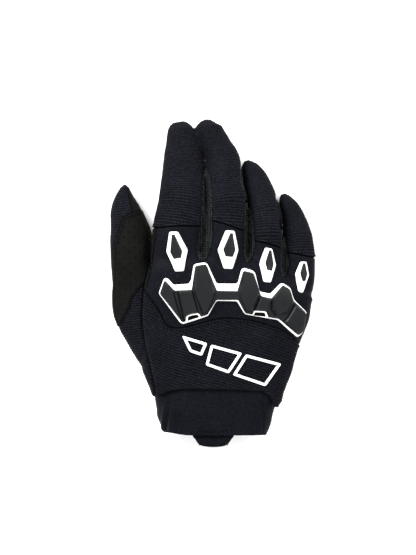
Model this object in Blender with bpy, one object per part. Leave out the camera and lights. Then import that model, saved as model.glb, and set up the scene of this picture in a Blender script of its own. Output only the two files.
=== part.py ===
"""A motocross glove for the right hand, lying palm down on a table.

Metres, +Z up. The fingertips point to +Y, the thumb lies at -X and the back of the hand faces up.
The glove is one hollow skin. It is cut into its sewn panels along the seams, and the cuff,
the pull tab and the moulded knuckle armour are seated on it.
"""

import math

import bmesh
import bpy
from mathutils import Vector
from mathutils.bvhtree import BVHTree

MM = 0.001

# Walls and clearances
SKIN = 1.6 * MM            # wall of the sewn panels
CUFF_WALL = 2.2 * MM       # wall of the padded cuff
SEAM_GAP = 0.3 * MM        # cut between two sewn panels
SLIP = 0.5 * MM            # between the cuff and the hand round it
SEAT = 0.5 * MM            # between the armour and the panel under it
STACK = 0.3 * MM           # between one moulded layer and the next

# The hand, from the wrist line to the webs between the fingers
HAND_LENGTH = 88 * MM
HAND_DEPTH = 41 * MM
KNUCKLE_EASE = 1 * MM      # how much wider the hand is than the row of fingers
WRIST_Y = -73 * MM
KNUCKLE_X = 13.8 * MM      # middle of the row of fingers
HAND_ROUNDNESS = 2.5
HAND_SIDES = 22

# The digits: width and depth of the tube, length from its buried root, and the root's place.
# "behind" is how far the root lies behind the webs, "height" its height over the table.
FINGER_GAP = 0.6 * MM
DIGIT_ROUNDNESS = 2.2
DIGIT_SIDES = 14
DIGITS = {
    "thumb": {"width": 32 * MM, "depth": 29 * MM, "length": 122 * MM,
              "behind": 73 * MM, "height": 14.5 * MM},
    "index": {"width": 32.6 * MM, "depth": 21.5 * MM, "length": 113 * MM,
              "behind": 23 * MM, "height": 25 * MM},
    "middle": {"width": 29.2 * MM, "depth": 22 * MM, "length": 114.4 * MM,
               "behind": 23 * MM, "height": 26 * MM},
    "ring": {"width": 23.1 * MM, "depth": 20 * MM, "length": 93.6 * MM,
             "behind": 29 * MM, "height": 21 * MM},
    "little": {"width": 19.6 * MM, "depth": 17.6 * MM, "length": 78 * MM,
               "behind": 35 * MM, "height": 15 * MM},
}
FINGERS = ["index", "middle", "ring", "little"]
THUMB_ROOT = -30 * MM      # X of the thumb's root

# The cuff
CUFF_LENGTH = 38 * MM
HEM_DROP = 9 * MM          # how far the palm's hem lies below the wrist line

# The pull tab, sewn under the top of the cuff
TAB_WIDTH = 27.6 * MM
TAB_REACH = 8.5 * MM       # how far it sticks out of the cuff
TAB_TUCK = 6 * MM          # how far it reaches inside
TAB_THICKNESS = 1.8 * MM
TAB_ACROSS = -0.121        # its middle, a share of the hand's width from the middle of the fingers
TAB_ROWS = [
    # along: from the cuff's edge, shares of the reach outside and of the tuck inside. wide. droop.
    (-1.00, 1.00, 0.00),
    (0.00, 1.00, 0.00),
    (0.45, 0.84, 0.04),
    (0.86, 0.68, 0.12),
    (1.00, 0.55, 0.16),
]
TAB_COLUMNS = 7

# The moulded armour
GUARD_WIDTH = 95 * MM
GUARD_HEIGHT = 48 * MM
GUARD_RIM = 1.5 * MM       # width of the white rim that shows round the black shell
GUARD_BASE = 1.2 * MM      # thickness of the white base
GUARD_SHELL = 1.8 * MM     # thickness of the black shell
GUARD_RIDGE = 1.8 * MM     # how far its five ridges stand up
FINGER_GUARD = 2.2 * MM    # thickness of a finger guard
GUARD_POCKET = 1.0 * MM    # depth of the pocket for its insert
GUARD_INSERT = 1.4 * MM    # thickness of the insert

SIDE_DROP = 2 * MM         # how far the side seam lies under the middle of the digits

TOP = 90 * MM              # above everything
GUARD_CORE = 0.45          # share of HAND_DEPTH, a height inside the hand all along the knuckles
BELOW = -8 * MM            # below everything
WELD = 0.002 * MM          # cut corners nearer than this become one
FLAT_ENOUGH = math.radians(1.0)   # neighbouring faces nearer to flat than this become one

# Sections of the hand. along: share of HAND_LENGTH from the wrist line. centre and wide: shares of
# the hand's width. low and high: shares of HAND_DEPTH. roll: degrees, the little finger's side down.
# back: share of HAND_LENGTH by which the little finger's side lies behind the rest.
HAND_SECTIONS = [
    # along, centre, wide, low, high, roll, back
    (0.00, -0.097, 0.797, -0.03, 0.83, 0.0, 0.00),
    (0.20, -0.095, 0.915, -0.03, 0.87, 1.0, 0.00),
    (0.38, -0.077, 0.962, 0.00, 0.91, 2.0, 0.00),
    (0.60, -0.046, 1.020, 0.05, 0.95, 4.0, 0.02),
    (0.79, -0.029, 1.018, 0.13, 0.98, 6.0, 0.10),
    (0.92, -0.013, 0.998, 0.22, 0.96, 7.0, 0.25),
    (1.01, -0.008, 0.925, 0.34, 0.88, 7.0, 0.32),
    (1.05, 0.000, 0.755, 0.45, 0.76, 7.0, 0.34),
]
LIFT = 0.4 * MM            # how far the digits clear the table beside the palm
WRIST_TAPER = 0.025        # how much narrower the hem is than the wrist line, a share of the hand's width

# Sections of the digits. along: share of the length. side: shift of the middle, a share of the
# width. rise: share of the root's height. wide and deep: shares of the width and depth.
DIGIT_SECTIONS = {
    "thumb": [
        # along, side, rise, wide, deep
        (0.000, 0.000, 1.00, 0.60, 0.80),
        (0.115, -0.188, 1.00, 0.88, 0.93),
        (0.352, -0.531, 1.00, 1.10, 0.95),
        (0.475, -0.625, 1.00, 0.96, 0.94),
        (0.590, -0.725, 0.98, 0.77, 0.93),
        (0.697, -0.723, 0.92, 0.82, 0.94),
        (0.787, -0.756, 0.81, 0.77, 0.85),
        (0.861, -0.820, 0.70, 0.63, 0.73),
        (0.926, -0.844, 0.57, 0.41, 0.56),
        (0.971, -0.838, 0.50, 0.24, 0.35),
        (1.000, -0.825, 0.46, 0.08, 0.12),
    ],
    "index": [
        (0.000, 0.000, 1.00, 1.00, 1.00),
        (0.261, 0.000, 1.11, 1.00, 1.00),
        (0.381, 0.028, 1.12, 0.99, 0.98),
        (0.531, 0.106, 1.00, 0.94, 0.97),
        (0.655, 0.138, 0.78, 0.89, 0.92),
        (0.833, 0.158, 0.45, 0.79, 0.88),
        (0.939, 0.124, 0.33, 0.64, 0.78),
        (0.974, 0.090, 0.30, 0.48, 0.55),
        (1.000, 0.090, 0.29, 0.19, 0.20),
    ],
    "middle": [
        (0.000, 0.000, 1.00, 1.00, 1.00),
        (0.258, 0.000, 1.10, 1.00, 1.00),
        (0.385, 0.045, 1.10, 0.93, 0.98),
        (0.524, 0.040, 1.00, 0.90, 0.96),
        (0.629, -0.007, 0.82, 0.816, 0.90),
        (0.760, -0.040, 0.58, 0.76, 0.87),
        (0.857, -0.112, 0.42, 0.66, 0.84),
        (0.944, -0.268, 0.32, 0.56, 0.75),
        (0.975, -0.332, 0.30, 0.43, 0.55),
        (1.000, -0.336, 0.29, 0.15, 0.18),
    ],
    "ring": [
        (0.000, 0.000, 1.00, 1.00, 1.00),
        (0.278, -0.011, 1.14, 1.00, 1.00),
        (0.449, -0.010, 1.13, 0.972, 0.98),
        (0.641, -0.049, 0.93, 0.894, 0.95),
        (0.726, -0.108, 0.77, 0.828, 0.90),
        (0.876, -0.308, 0.42, 0.70, 0.86),
        (0.929, -0.414, 0.35, 0.57, 0.74),
        (0.972, -0.516, 0.31, 0.40, 0.50),
        (1.000, -0.550, 0.30, 0.14, 0.18),
    ],
    "little": [
        (0.000, -0.200, 1.00, 0.60, 0.85),
        (0.295, -0.005, 1.15, 1.00, 1.00),
        (0.487, -0.007, 1.10, 1.00, 0.98),
        (0.615, -0.037, 0.97, 0.954, 0.94),
        (0.726, -0.117, 0.79, 0.844, 0.95),
        (0.863, -0.294, 0.52, 0.668, 0.90),
        (0.923, -0.429, 0.44, 0.549, 0.76),
        (0.968, -0.520, 0.40, 0.38, 0.50),
        (1.000, -0.594, 0.39, 0.15, 0.18),
    ],
}

# Sections of the cuff. along: share of CUFF_LENGTH from its sewn end, inside the hand.
# wide and high: shares of the room that the hand leaves it at the wrist line.
CUFF_SECTIONS = [
    # along, centre, wide, low, high
    (0.00, 0.000, 1.000, 0.00, 1.00),
    (0.34, 0.000, 1.000, 0.00, 1.00),
    (0.56, -0.011, 0.945, 0.00, 0.99),
    (0.70, -0.015, 0.925, -0.06, 0.97),
    (0.87, -0.013, 0.880, -0.07, 0.94),
    (1.00, -0.015, 0.832, -0.07, 0.91),
]

# Seams between a finger's back and the mesh strip beside it. along: share of the finger's length.
# before: share of the half width on the side towards the thumb. after: on the little finger's side.
STRIP_SEAM = [
    # along, before, after
    (0.30, 0.62, 0.84),
    (0.42, 0.68, 0.86),
    (0.54, 0.76, 0.88),
    (0.66, 0.84, 0.88),
]
STRIP_END = 0.74           # share of the length where a mesh strip runs out
WEB_HEIGHT = 4 * MM        # how far over its foot the sides of a strip start
# How far the foot of each strip lies behind the web line
WEB_DROP = {"index middle": -0.6 * MM, "middle ring": 0.2 * MM, "ring little": 9.9 * MM}

# Seam across the front of each finger, a share of its length, and across the thumb's root
FRONT_SEAM = {"index": 0.27, "middle": 0.27, "ring": 0.375, "little": 0.40}
THUMB_SEAM = [(-0.490, 0.990), (-0.520, 0.850), (-0.580, 0.700), (-0.640, 0.580), (-0.780, 0.450)]

# Seam across each finger, where the ribbed back starts. left and right: shares of the length.
CROSS_SEAM = {
    "index": (0.366, 0.415),
    "middle": (0.42, 0.37),
    "ring": (0.443, 0.394),
    "little": (0.52, 0.455),
}

# Seams on the back of the hand. across: share of the hand's width from its middle at the knuckles.
# along: share of HAND_LENGTH from the wrist line.
ARC_SEAM = [
    # across, along
    (-0.545, 0.790),
    (-0.449, 0.623),
    (-0.409, 0.526),
    (-0.346, 0.497),
    (-0.247, 0.516),
    (-0.099, 0.564),
    (0.011, 0.568),
    (0.149, 0.541),
    (0.316, 0.469),
    (0.395, 0.382),
    (0.560, 0.250),
]
PATCH_FOOT = (-0.537, 0.830)    # the thumb's patch ends here too
SIDE_SEAM = [
    (-0.470, -0.220),
    (-0.470, 0.000),
    (-0.500, 0.200),
    (-0.535, 0.386),
    (-0.552, 0.560),
    (-0.547, 0.727),
    PATCH_FOOT,
    (-0.523, 0.898),
    (-0.512, 0.955),
    (-0.509, 1.011),
    (-0.505, 1.050),
]
HEM_LINE = [
    (-0.540, -0.004),
    (-0.447, 0.007),
    (-0.362, 0.044),
    (-0.190, 0.052),
    (0.159, 0.038),
    (0.229, -0.022),
    (0.262, -0.099),
    (0.330, -0.060),
]

# Outline of the perforated patch on the thumb. along: share of the thumb's length.
# side: share of the thumb's half width from its middle.
PATCH_OUTLINE = [
    # along, side
    (0.870, 1.20),
    (0.850, 0.40),
    (0.820, -0.25),
    (0.750, -0.62),
    (0.650, -0.80),
    (0.520, -0.90),
    (0.400, -0.93),
    (0.300, -0.95),
    (0.262, -0.90),
    (0.360, -0.30),
]

# Outline of the knuckle guard. across and up: shares of GUARD_WIDTH and GUARD_HEIGHT from its middle.
GUARD_OUTLINE = [
    # across, up
    (-0.457, 0.296),
    (-0.432, 0.275),
    (-0.400, 0.204),
    (-0.298, 0.219),
    (-0.281, 0.271),
    (-0.261, 0.475),
    (-0.179, 0.496),
    (-0.108, 0.221),
    (0.034, 0.219),
    (0.063, 0.421),
    (0.147, 0.383),
    (0.183, 0.115),
    (0.257, 0.083),
    (0.333, 0.229),
    (0.392, 0.156),
    (0.417, 0.002),
    (0.493, -0.160),
    (0.474, -0.421),
    (0.436, -0.492),
    (0.306, -0.267),
    (0.086, -0.192),
    (0.031, -0.015),
    (-0.111, -0.010),
    (-0.166, -0.210),
    (-0.236, -0.258),
    (-0.345, -0.310),
    (-0.499, 0.092),
]
GUARD_MIDDLE = (-0.006, 0.705)   # across and along on the hand, as in the seams

# The five ridges of the knuckle guard, each an outline inside the shell
RIDGES = {
    "horn": [(-0.451, 0.263), (-0.415, 0.169), (-0.349, -0.031), (-0.342, -0.240), (-0.356, -0.254),
             (-0.479, 0.092)],
    "second": [(-0.251, 0.442), (-0.185, 0.458), (-0.180, 0.446), (-0.152, 0.175), (-0.198, -0.129),
               (-0.236, -0.179), (-0.295, -0.104), (-0.299, 0.146)],
    "third": [(0.078, 0.388), (0.131, 0.358), (0.156, 0.133), (0.118, -0.133), (0.088, -0.112),
              (0.046, 0.075), (0.044, 0.204)],
    "fourth": [(0.335, 0.183), (0.377, 0.133), (0.394, -0.004), (0.368, -0.196), (0.309, -0.217),
               (0.276, -0.062), (0.278, 0.075)],
    "end": [(0.417, -0.062), (0.472, -0.179), (0.457, -0.404), (0.440, -0.446), (0.360, -0.300),
            (0.383, -0.188)],
}

# A finger guard, and the pocket in it. Shares of its width and height from its middle.
HEXAGON = [(-0.33, 0.48), (0.08, 0.50), (0.50, 0.03), (0.34, -0.48), (-0.09, -0.50), (-0.50, 0.00)]
POCKET = [(-0.20, 0.43), (-0.06, 0.43), (0.26, 0.00), (0.20, -0.17), (-0.12, -0.20), (-0.30, -0.02)]
# across and along place its middle on the hand. mirror turns the outline over, tilt turns it in degrees.
FINGER_GUARDS = {
    "index": {"width": 13.3 * MM, "height": 26 * MM, "across": -0.344,
              "along": 1.060, "mirror": 1, "tilt": 2},
    "middle": {"width": 12.7 * MM, "height": 25 * MM, "across": -0.032,
               "along": 1.074, "mirror": -1, "tilt": 2},
    "ring": {"width": 10.4 * MM, "height": 22.7 * MM, "across": 0.208,
             "along": 0.962, "mirror": -1, "tilt": -2},
    "little": {"width": 8.5 * MM, "height": 20.3 * MM, "across": 0.415,
               "along": 0.872, "mirror": -1, "tilt": -4},
}

FINISHES = {
    # red, green, blue, roughness
    "ribbed knit": (0.020, 0.021, 0.028, 0.85),
    "smooth stretch": (0.012, 0.013, 0.020, 0.75),
    "suede": (0.016, 0.016, 0.015, 0.95),
    "strip mesh": (0.010, 0.011, 0.013, 0.90),
    "black rubber": (0.030, 0.032, 0.033, 0.55),
    "white rubber": (0.850, 0.850, 0.840, 0.50),
}

PARTS = bpy.data.collections.new("motocross glove")
CUTTERS = bpy.data.collections.new("cutters")


def clear_scene():
    for thing in list(bpy.data.objects):
        bpy.data.objects.remove(thing)
    for collection in (PARTS, CUTTERS):
        bpy.context.scene.collection.children.link(collection)


def finish(thing, name, finish_name):
    """Names a solid, gives it its material and moves it to the parts."""
    shape = bmesh.new()
    shape.from_mesh(thing.data)
    bmesh.ops.dissolve_limit(shape, angle_limit=FLAT_ENOUGH, verts=shape.verts, edges=shape.edges)
    bmesh.ops.triangulate(shape, faces=shape.faces)
    shape.to_mesh(thing.data)
    shape.free()
    thing.name = name
    thing.data.name = name
    material = bpy.data.materials.get(finish_name) or bpy.data.materials.new(finish_name)
    red, green, blue, roughness = FINISHES[finish_name]
    material.diffuse_color = (red, green, blue, 1)
    material.use_nodes = True
    shader = material.node_tree.nodes["Principled BSDF"]
    shader.inputs["Base Color"].default_value = (red, green, blue, 1)
    shader.inputs["Roughness"].default_value = roughness
    thing.data.materials.clear()
    thing.data.materials.append(material)
    for collection in list(thing.users_collection):
        collection.objects.unlink(thing)
    PARTS.objects.link(thing)
    thing.hide_render = False
    thing.display_type = "TEXTURED"
    return thing


def helper(name, mesh):
    """An object for a mesh that other shapes are cut with."""
    thing = bpy.data.objects.new(name, mesh)
    CUTTERS.objects.link(thing)
    thing.hide_render = True
    thing.display_type = "WIRE"
    return thing


def mesh_from(shape, name):
    mesh = bpy.data.meshes.new(name)
    shape.to_mesh(mesh)
    shape.free()
    return mesh


def combine(first, second, operation):
    """A new solid: first joined with, cut by, or limited to second."""
    cut = first.modifiers.new("combine", "BOOLEAN")
    cut.operation = operation
    cut.solver = "EXACT"
    cut.object = second
    graph = bpy.context.evaluated_depsgraph_get()
    mesh = bpy.data.meshes.new_from_object(first.evaluated_get(graph))
    first.modifiers.remove(cut)
    shape = bmesh.new()
    shape.from_mesh(mesh)
    bmesh.ops.remove_doubles(shape, verts=shape.verts, dist=WELD)
    bmesh.ops.dissolve_degenerate(shape, edges=shape.edges, dist=WELD)
    bmesh.ops.triangulate(shape, faces=shape.faces)
    shape.to_mesh(mesh)
    shape.free()
    return helper(first.name, mesh)


def join_all(solids):
    whole = solids[0]
    for other in solids[1:]:
        whole = combine(whole, other, "UNION")
    return whole


def smooth_path(points, steps):
    """Points along a Catmull-Rom curve through the given ones, steps to each stretch."""
    points = [Vector(p) for p in points]
    ends = [2 * points[0] - points[1], *points, 2 * points[-1] - points[-2]]
    path = []
    for i in range(len(points) - 1):
        a, b, c, d = ends[i:i + 4]
        for k in range(steps):
            t = k / steps
            path.append(0.5 * (2 * b + (c - a) * t + (2 * a - 5 * b + 4 * c - d) * t * t
                               + (3 * b - a - 3 * c + d) * t ** 3))
    return [*path, points[-1]]


def round_section(half_wide, half_deep, roundness, sides):
    """Points (sideways, up) round a superellipse."""
    points = []
    for k in range(sides):
        angle = 2 * math.pi * k / sides
        c, s = math.cos(angle), math.sin(angle)
        points.append((half_wide * math.copysign(abs(c) ** (2 / roundness), c),
                       half_deep * math.copysign(abs(s) ** (2 / roundness), s)))
    return points


def loft(name, rings):
    """A closed solid through rings of equal length, capped at both ends."""
    shape = bmesh.new()
    rows = [[shape.verts.new(point) for point in ring] for ring in rings]
    count = len(rows[0])
    for low, high in zip(rows, rows[1:]):
        for k in range(count):
            shape.faces.new((low[k], low[(k + 1) % count], high[(k + 1) % count], high[k]))
    shape.faces.new(list(reversed(rows[0])))
    shape.faces.new(rows[-1])
    bmesh.ops.recalc_face_normals(shape, faces=shape.faces)
    return helper(name, mesh_from(shape, name))


def prism(name, outline, low=BELOW, high=TOP):
    """An upright solid on a flat outline of (x, y) points."""
    curve = bpy.data.curves.new(name, "CURVE")
    curve.dimensions = "2D"
    curve.fill_mode = "BOTH"
    curve.extrude = (high - low) / 2
    spline = curve.splines.new("POLY")
    spline.points.add(len(outline) - 1)
    for point, (x, y) in zip(spline.points, outline):
        point.co = (x, y, 0, 1)
    spline.use_cyclic_u = True
    drawn = bpy.data.objects.new(name, curve)
    CUTTERS.objects.link(drawn)
    mesh = bpy.data.meshes.new_from_object(drawn.evaluated_get(bpy.context.evaluated_depsgraph_get()))
    bpy.data.objects.remove(drawn)
    shape = bmesh.new()
    shape.from_mesh(mesh)
    bmesh.ops.remove_doubles(shape, verts=shape.verts, dist=0.001 * MM)
    bmesh.ops.translate(shape, verts=shape.verts, vec=(0, 0, (low + high) / 2))
    bmesh.ops.recalc_face_normals(shape, faces=shape.faces)
    return helper(name, mesh_from(shape, name))


def ribbon(name, line, width=SEAM_GAP):
    """A thin upright wall that follows a line of (x, y) points. It cuts a seam."""
    line = [Vector(p) for p in line]
    left, right = [], []
    for i, point in enumerate(line):
        before, after = line[max(i - 1, 0)], line[min(i + 1, len(line) - 1)]
        run = (after - before).normalized()
        across = Vector((-run.y, run.x)) * width / 2
        left.append(point + across)
        right.append(point - across)
    return prism(name, left + right[::-1])


def inset(outline, distance):
    """A closed outline moved inwards by a distance. Its points run clockwise."""
    points = [Vector(p) for p in outline]
    moved = []
    for i, point in enumerate(points):
        into = (point - points[i - 1]).normalized()
        out = (points[(i + 1) % len(points)] - point).normalized()
        inward = Vector((into.y + out.y, -into.x - out.x))
        corner = max(1 + into.dot(out), 0.5)
        moved.append(point + inward * distance / corner)
    return moved


def finger_row_width():
    return sum(DIGITS[name]["width"] for name in FINGERS) + 3 * FINGER_GAP


def hand_width():
    return finger_row_width() + KNUCKLE_EASE


def web_y():
    return WRIST_Y + HAND_LENGTH


def on_hand(across, along):
    """A point (x, y) from shares of the hand's width and length."""
    return Vector((KNUCKLE_X + across * hand_width(), WRIST_Y + along * HAND_LENGTH))


def digit_root(name):
    """The buried root of a digit's middle line."""
    digit = DIGITS[name]
    x = THUMB_ROOT
    if name in FINGERS:
        before = FINGERS[:FINGERS.index(name)]
        x = KNUCKLE_X - finger_row_width() / 2 + digit["width"] / 2
        x += sum(DIGITS[other]["width"] + FINGER_GAP for other in before)
    return Vector((x, web_y() - digit["behind"], digit["height"]))


def digit_row(name, along):
    """(middle, half width, half depth) of a digit at a share of its length."""
    digit, rows = DIGITS[name], DIGIT_SECTIONS[name]
    along = min(max(along, 0), 1)
    upper = next(i for i in range(1, len(rows)) if along <= rows[i][0])
    low, high = rows[upper - 1], rows[upper]
    t = (along - low[0]) / (high[0] - low[0])
    _, side, rise, wide, deep = (a + (b - a) * t for a, b in zip(low, high))
    root = digit_root(name)
    middle = Vector((root.x + side * digit["width"], root.y + along * digit["length"],
                     rise * digit["height"]))
    return middle, wide * digit["width"] / 2, deep * digit["depth"] / 2


def digit_point(name, along, side):
    """A point (x, y) beside a digit's middle line, side half widths away."""
    middle, half, _ = digit_row(name, along)
    ahead = digit_row(name, along + 0.02)[0] - digit_row(name, along - 0.02)[0]
    across = Vector((ahead.y, -ahead.x)).normalized()
    return middle.xy + across * side * half


def hand_rows():
    """The hand's sections, from the hem of the palm to the webs."""
    drop = -HEM_DROP / HAND_LENGTH
    wrist = HAND_SECTIONS[0]
    hem = (drop, wrist[1], wrist[2] - WRIST_TAPER, *wrist[3:])
    return [hem, *HAND_SECTIONS]


def hand_ring(row, wall, y):
    """A ring of the hand's form at y, made smaller by the wall."""
    _, centre, wide, low, high, roll, back = row
    width = hand_width()
    x, z = KNUCKLE_X + centre * width, (low + high) / 2 * HAND_DEPTH
    turn = math.radians(roll)
    ring = []
    for side, up in round_section(wide * width / 2 - wall, (high - low) / 2 * HAND_DEPTH - wall,
                                  HAND_ROUNDNESS, HAND_SIDES):
        behind = back * HAND_LENGTH * max(side / (width / 2) - 0.1, 0) ** 1.5
        height = z + up * math.cos(turn) - side * math.sin(turn)
        ring.append((x + side * math.cos(turn) + up * math.sin(turn), y - behind, max(height, wall)))
    return ring


def hand_solid(name, wall):
    """The hand's outer form. A wall above 0 gives the hollow in it, one below 0 a form round it."""
    rings = []
    rows = hand_rows()
    for row in rows:
        y = WRIST_Y + row[0] * HAND_LENGTH
        if row is rows[0]:
            y -= abs(wall) * 4
        if row[0] > 1:
            y -= wall
        rings.append(hand_ring(row, wall, y))
    return loft(name, rings)


def digit_solid(name, wall):
    """A digit's outer form, or the hollow in it."""
    rings = []
    rows = DIGIT_SECTIONS[name]
    for i, (along, *_) in enumerate(rows):
        middle, half_wide, half_deep = digit_row(name, along)
        before = digit_row(name, rows[max(i - 1, 0)][0])[0]
        after = digit_row(name, rows[min(i + 1, len(rows) - 1)][0])[0]
        ahead = (after - before).normalized()
        across = Vector((ahead.y, -ahead.x, 0)).normalized()
        upwards = across.cross(ahead)
        middle = middle - ahead * wall * (along > 0.9)
        thin = min(wall, half_wide * 0.6, half_deep * 0.6)
        ring = []
        for side, up in round_section(half_wide - thin, half_deep - thin, DIGIT_ROUNDNESS, DIGIT_SIDES):
            point = middle + across * side + upwards * up
            point.z = max(point.z, wall + LIFT)
            ring.append(point)
        rings.append(ring)
    return loft(name + " form", rings)


def glove_form(name, wall):
    return join_all([hand_solid(name, wall), *[digit_solid(digit, wall) for digit in DIGITS]])


def side_block(name, upwards):
    """Everything above, or below, the seam that runs round the sides of the hand and digits."""
    order = ["thumb", *FINGERS]
    steps = 10
    south, north = WRIST_Y - 3 * HEM_DROP, web_y() + max(digit["length"] for digit in DIGITS.values())
    beyond = Vector((hand_width() / 2, 0, 0))
    gap = SEAM_GAP / 2 if upwards else -SEAM_GAP / 2
    shape = bmesh.new()
    rows = []
    for i in range(steps + 1):
        y = south + (north - south) * i / steps
        row = []
        for digit in order:
            along = (y - digit_root(digit).y) / DIGITS[digit]["length"]
            middle = digit_row(digit, along)[0]
            row.append(Vector((middle.x, y, middle.z - SIDE_DROP + gap)))
        row = [row[0] - beyond, *row, row[-1] + beyond]
        rows.append([shape.verts.new(point) for point in row])
    for low, high in zip(rows, rows[1:]):
        for k in range(len(low) - 1):
            shape.faces.new((low[k], low[k + 1], high[k + 1], high[k]))
    grown = bmesh.ops.extrude_face_region(shape, geom=shape.faces[:])
    for vert in grown["geom"]:
        if isinstance(vert, bmesh.types.BMVert):
            vert.co.z = TOP if upwards else BELOW
    bmesh.ops.recalc_face_normals(shape, faces=shape.faces)
    return helper(name, mesh_from(shape, name))


def web_point(before, after):
    """The lowest point (x, y) of the strip between two fingers."""
    left = digit_point(before, STRIP_SEAM[0][0], 1)
    right = digit_point(after, STRIP_SEAM[0][0], -1)
    return Vector(((left.x + right.x) / 2, web_y() - WEB_DROP[before + " " + after]))


def strip_seam(before, after):
    """The seam round the mesh strip between two fingers, down one and up the other."""
    web = web_point(before, after)
    clear = web.y + WEB_HEIGHT
    down = [digit_point(before, STRIP_END, 1.06)]
    down += [digit_point(before, along, right) for along, _, right in reversed(STRIP_SEAM)]
    up = [digit_point(after, along, -left) for along, left, _ in STRIP_SEAM]
    up += [digit_point(after, STRIP_END, -1.06)]
    down, up = ([point for point in side if point.y > clear] for side in (down, up))
    room = Vector(((up[0].x - down[-1].x) * 0.30, 0))
    return [*down, web - room, web + room, *up]


def seam_side(name, along, right):
    """Share of the half width at which the strip seam runs, on the right or left of a finger."""
    rows = STRIP_SEAM
    along = min(max(along, rows[0][0]), rows[-1][0])
    upper = next(i for i in range(1, len(rows)) if along <= rows[i][0])
    low, high = rows[upper - 1], rows[upper]
    t = (along - low[0]) / (high[0] - low[0])
    column = 2 if right else 1
    return low[column] + (high[column] - low[column]) * t


def cross_seam(name):
    """The seam across a finger's back, from strip to strip, or over its free side."""
    left, right = CROSS_SEAM[name]
    free_left, free_right = name == FINGERS[0], name == FINGERS[-1]
    start = -1.04 if free_left else -seam_side(name, left, False)
    end = 1.3 if free_right else seam_side(name, right, True)
    middle = digit_point(name, (left + right) / 2 + 0.008, 0)
    return [digit_point(name, left, start), middle, digit_point(name, right, end)]


def loose_parts(solid):
    """Each loose piece of a mesh, as an object of its own."""
    whole = bmesh.new()
    whole.from_mesh(solid.data)
    left, islands = set(whole.verts), []
    while left:
        reach = [left.pop()]
        island = {reach[0].index}
        while reach:
            for edge in reach.pop().link_edges:
                other = [vert for vert in edge.verts if vert in left]
                left.difference_update(other)
                island.update(vert.index for vert in other)
                reach.extend(other)
        islands.append(island)
    whole.free()
    pieces = []
    for island in islands:
        part = bmesh.new()
        part.from_mesh(solid.data)
        others = [vert for vert in part.verts if vert.index not in island]
        bmesh.ops.delete(part, geom=others, context="VERTS")
        pieces.append(helper("piece", mesh_from(part, "piece")))
    return pieces


def amount(solid):
    """The volume of a closed mesh."""
    shape = bmesh.new()
    shape.from_mesh(solid.data)
    found = abs(shape.calc_volume())
    shape.free()
    return found


def piece_at(pieces, point, downwards):
    """The piece that an upright line through a point (x, y) meets first."""
    start = Vector((point.x, point.y, TOP if downwards else BELOW))
    way = Vector((0, 0, -1 if downwards else 1))
    best, nearest = None, 1
    for piece in pieces:
        vertices = [vert.co for vert in piece.data.vertices]
        tree = BVHTree.FromPolygons(vertices, [face.vertices for face in piece.data.polygons])
        distance = tree.ray_cast(start, way)[3]
        if distance is not None and distance < nearest:
            best, nearest = piece, distance
    return best


def sewn_panels(outer, hollow):
    """Cuts the glove's form along its seams and hollows each panel."""
    above = combine(outer, side_block("above the side seam", True), "INTERSECT")
    for before, after in zip(FINGERS, FINGERS[1:]):
        line = strip_seam(before, after)
        above = combine(above, ribbon("strip seam", line), "DIFFERENCE")
    for name in FINGERS:
        above = combine(above, ribbon("cross seam", cross_seam(name)), "DIFFERENCE")
    for name, line in (("arc seam", ARC_SEAM), ("side seam", SIDE_SEAM), ("hem", HEM_LINE)):
        line = smooth_path([on_hand(*share) for share in line], 2)
        above = combine(above, ribbon(name, line), "DIFFERENCE")
    patch = [digit_point("thumb", *share) for share in PATCH_OUTLINE]
    patch = smooth_path([*patch, on_hand(*PATCH_FOOT)], 2)
    above = combine(above, ribbon("patch seam", patch), "DIFFERENCE")

    below = combine(outer, side_block("below the side seam", False), "INTERSECT")
    for name in FINGERS:
        line = [digit_point(name, FRONT_SEAM[name], side) for side in (-1.045, 0, 1.045)]
        if name == FINGERS[0]:
            line[0] = digit_point(name, FRONT_SEAM[name], -1.04)
        if name == FINGERS[-1]:
            line[-1] = digit_point(name, FRONT_SEAM[name], 1.3)
        below = combine(below, ribbon("front seam", line), "DIFFERENCE")
    thumb = smooth_path([on_hand(*share) for share in THUMB_SEAM], 2)
    below = combine(below, ribbon("thumb seam", thumb), "DIFFERENCE")

    probes = [
        ("back_panel", on_hand(0, 0.30), True, "ribbed knit"),
        ("knuckle_panel", on_hand(0, 0.80), True, "smooth stretch"),
        ("thumb_back", digit_point("thumb", 0.92, 0), True, "ribbed knit"),
        ("thumb_patch", digit_point("thumb", 0.60, 0), True, "suede"),
        ("thumb_front", digit_point("thumb", 0.60, 0), False, "suede"),
        ("palm", on_hand(-0.1, 0.40), False, "suede"),
    ]
    for name in FINGERS:
        probes.append(("finger_back_" + name, digit_point(name, 0.60, 0), True, "ribbed knit"))
        probes.append(("finger_front_" + name, digit_point(name, 0.60, 0), False, "suede"))
    for before, after in zip(FINGERS, FINGERS[1:]):
        point = web_point(before, after) + Vector((0, 2 * MM))
        probes.append(("finger_strip_" + before + "_" + after, point, True, "strip mesh"))
    columns = {True: loose_parts(above), False: loose_parts(below)}
    for name, point, downwards, finish_name in probes:
        column = piece_at(columns[downwards], point, downwards)
        panel = max(loose_parts(combine(column, hollow, "DIFFERENCE")), key=amount)
        finish(panel, name, finish_name)


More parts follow.
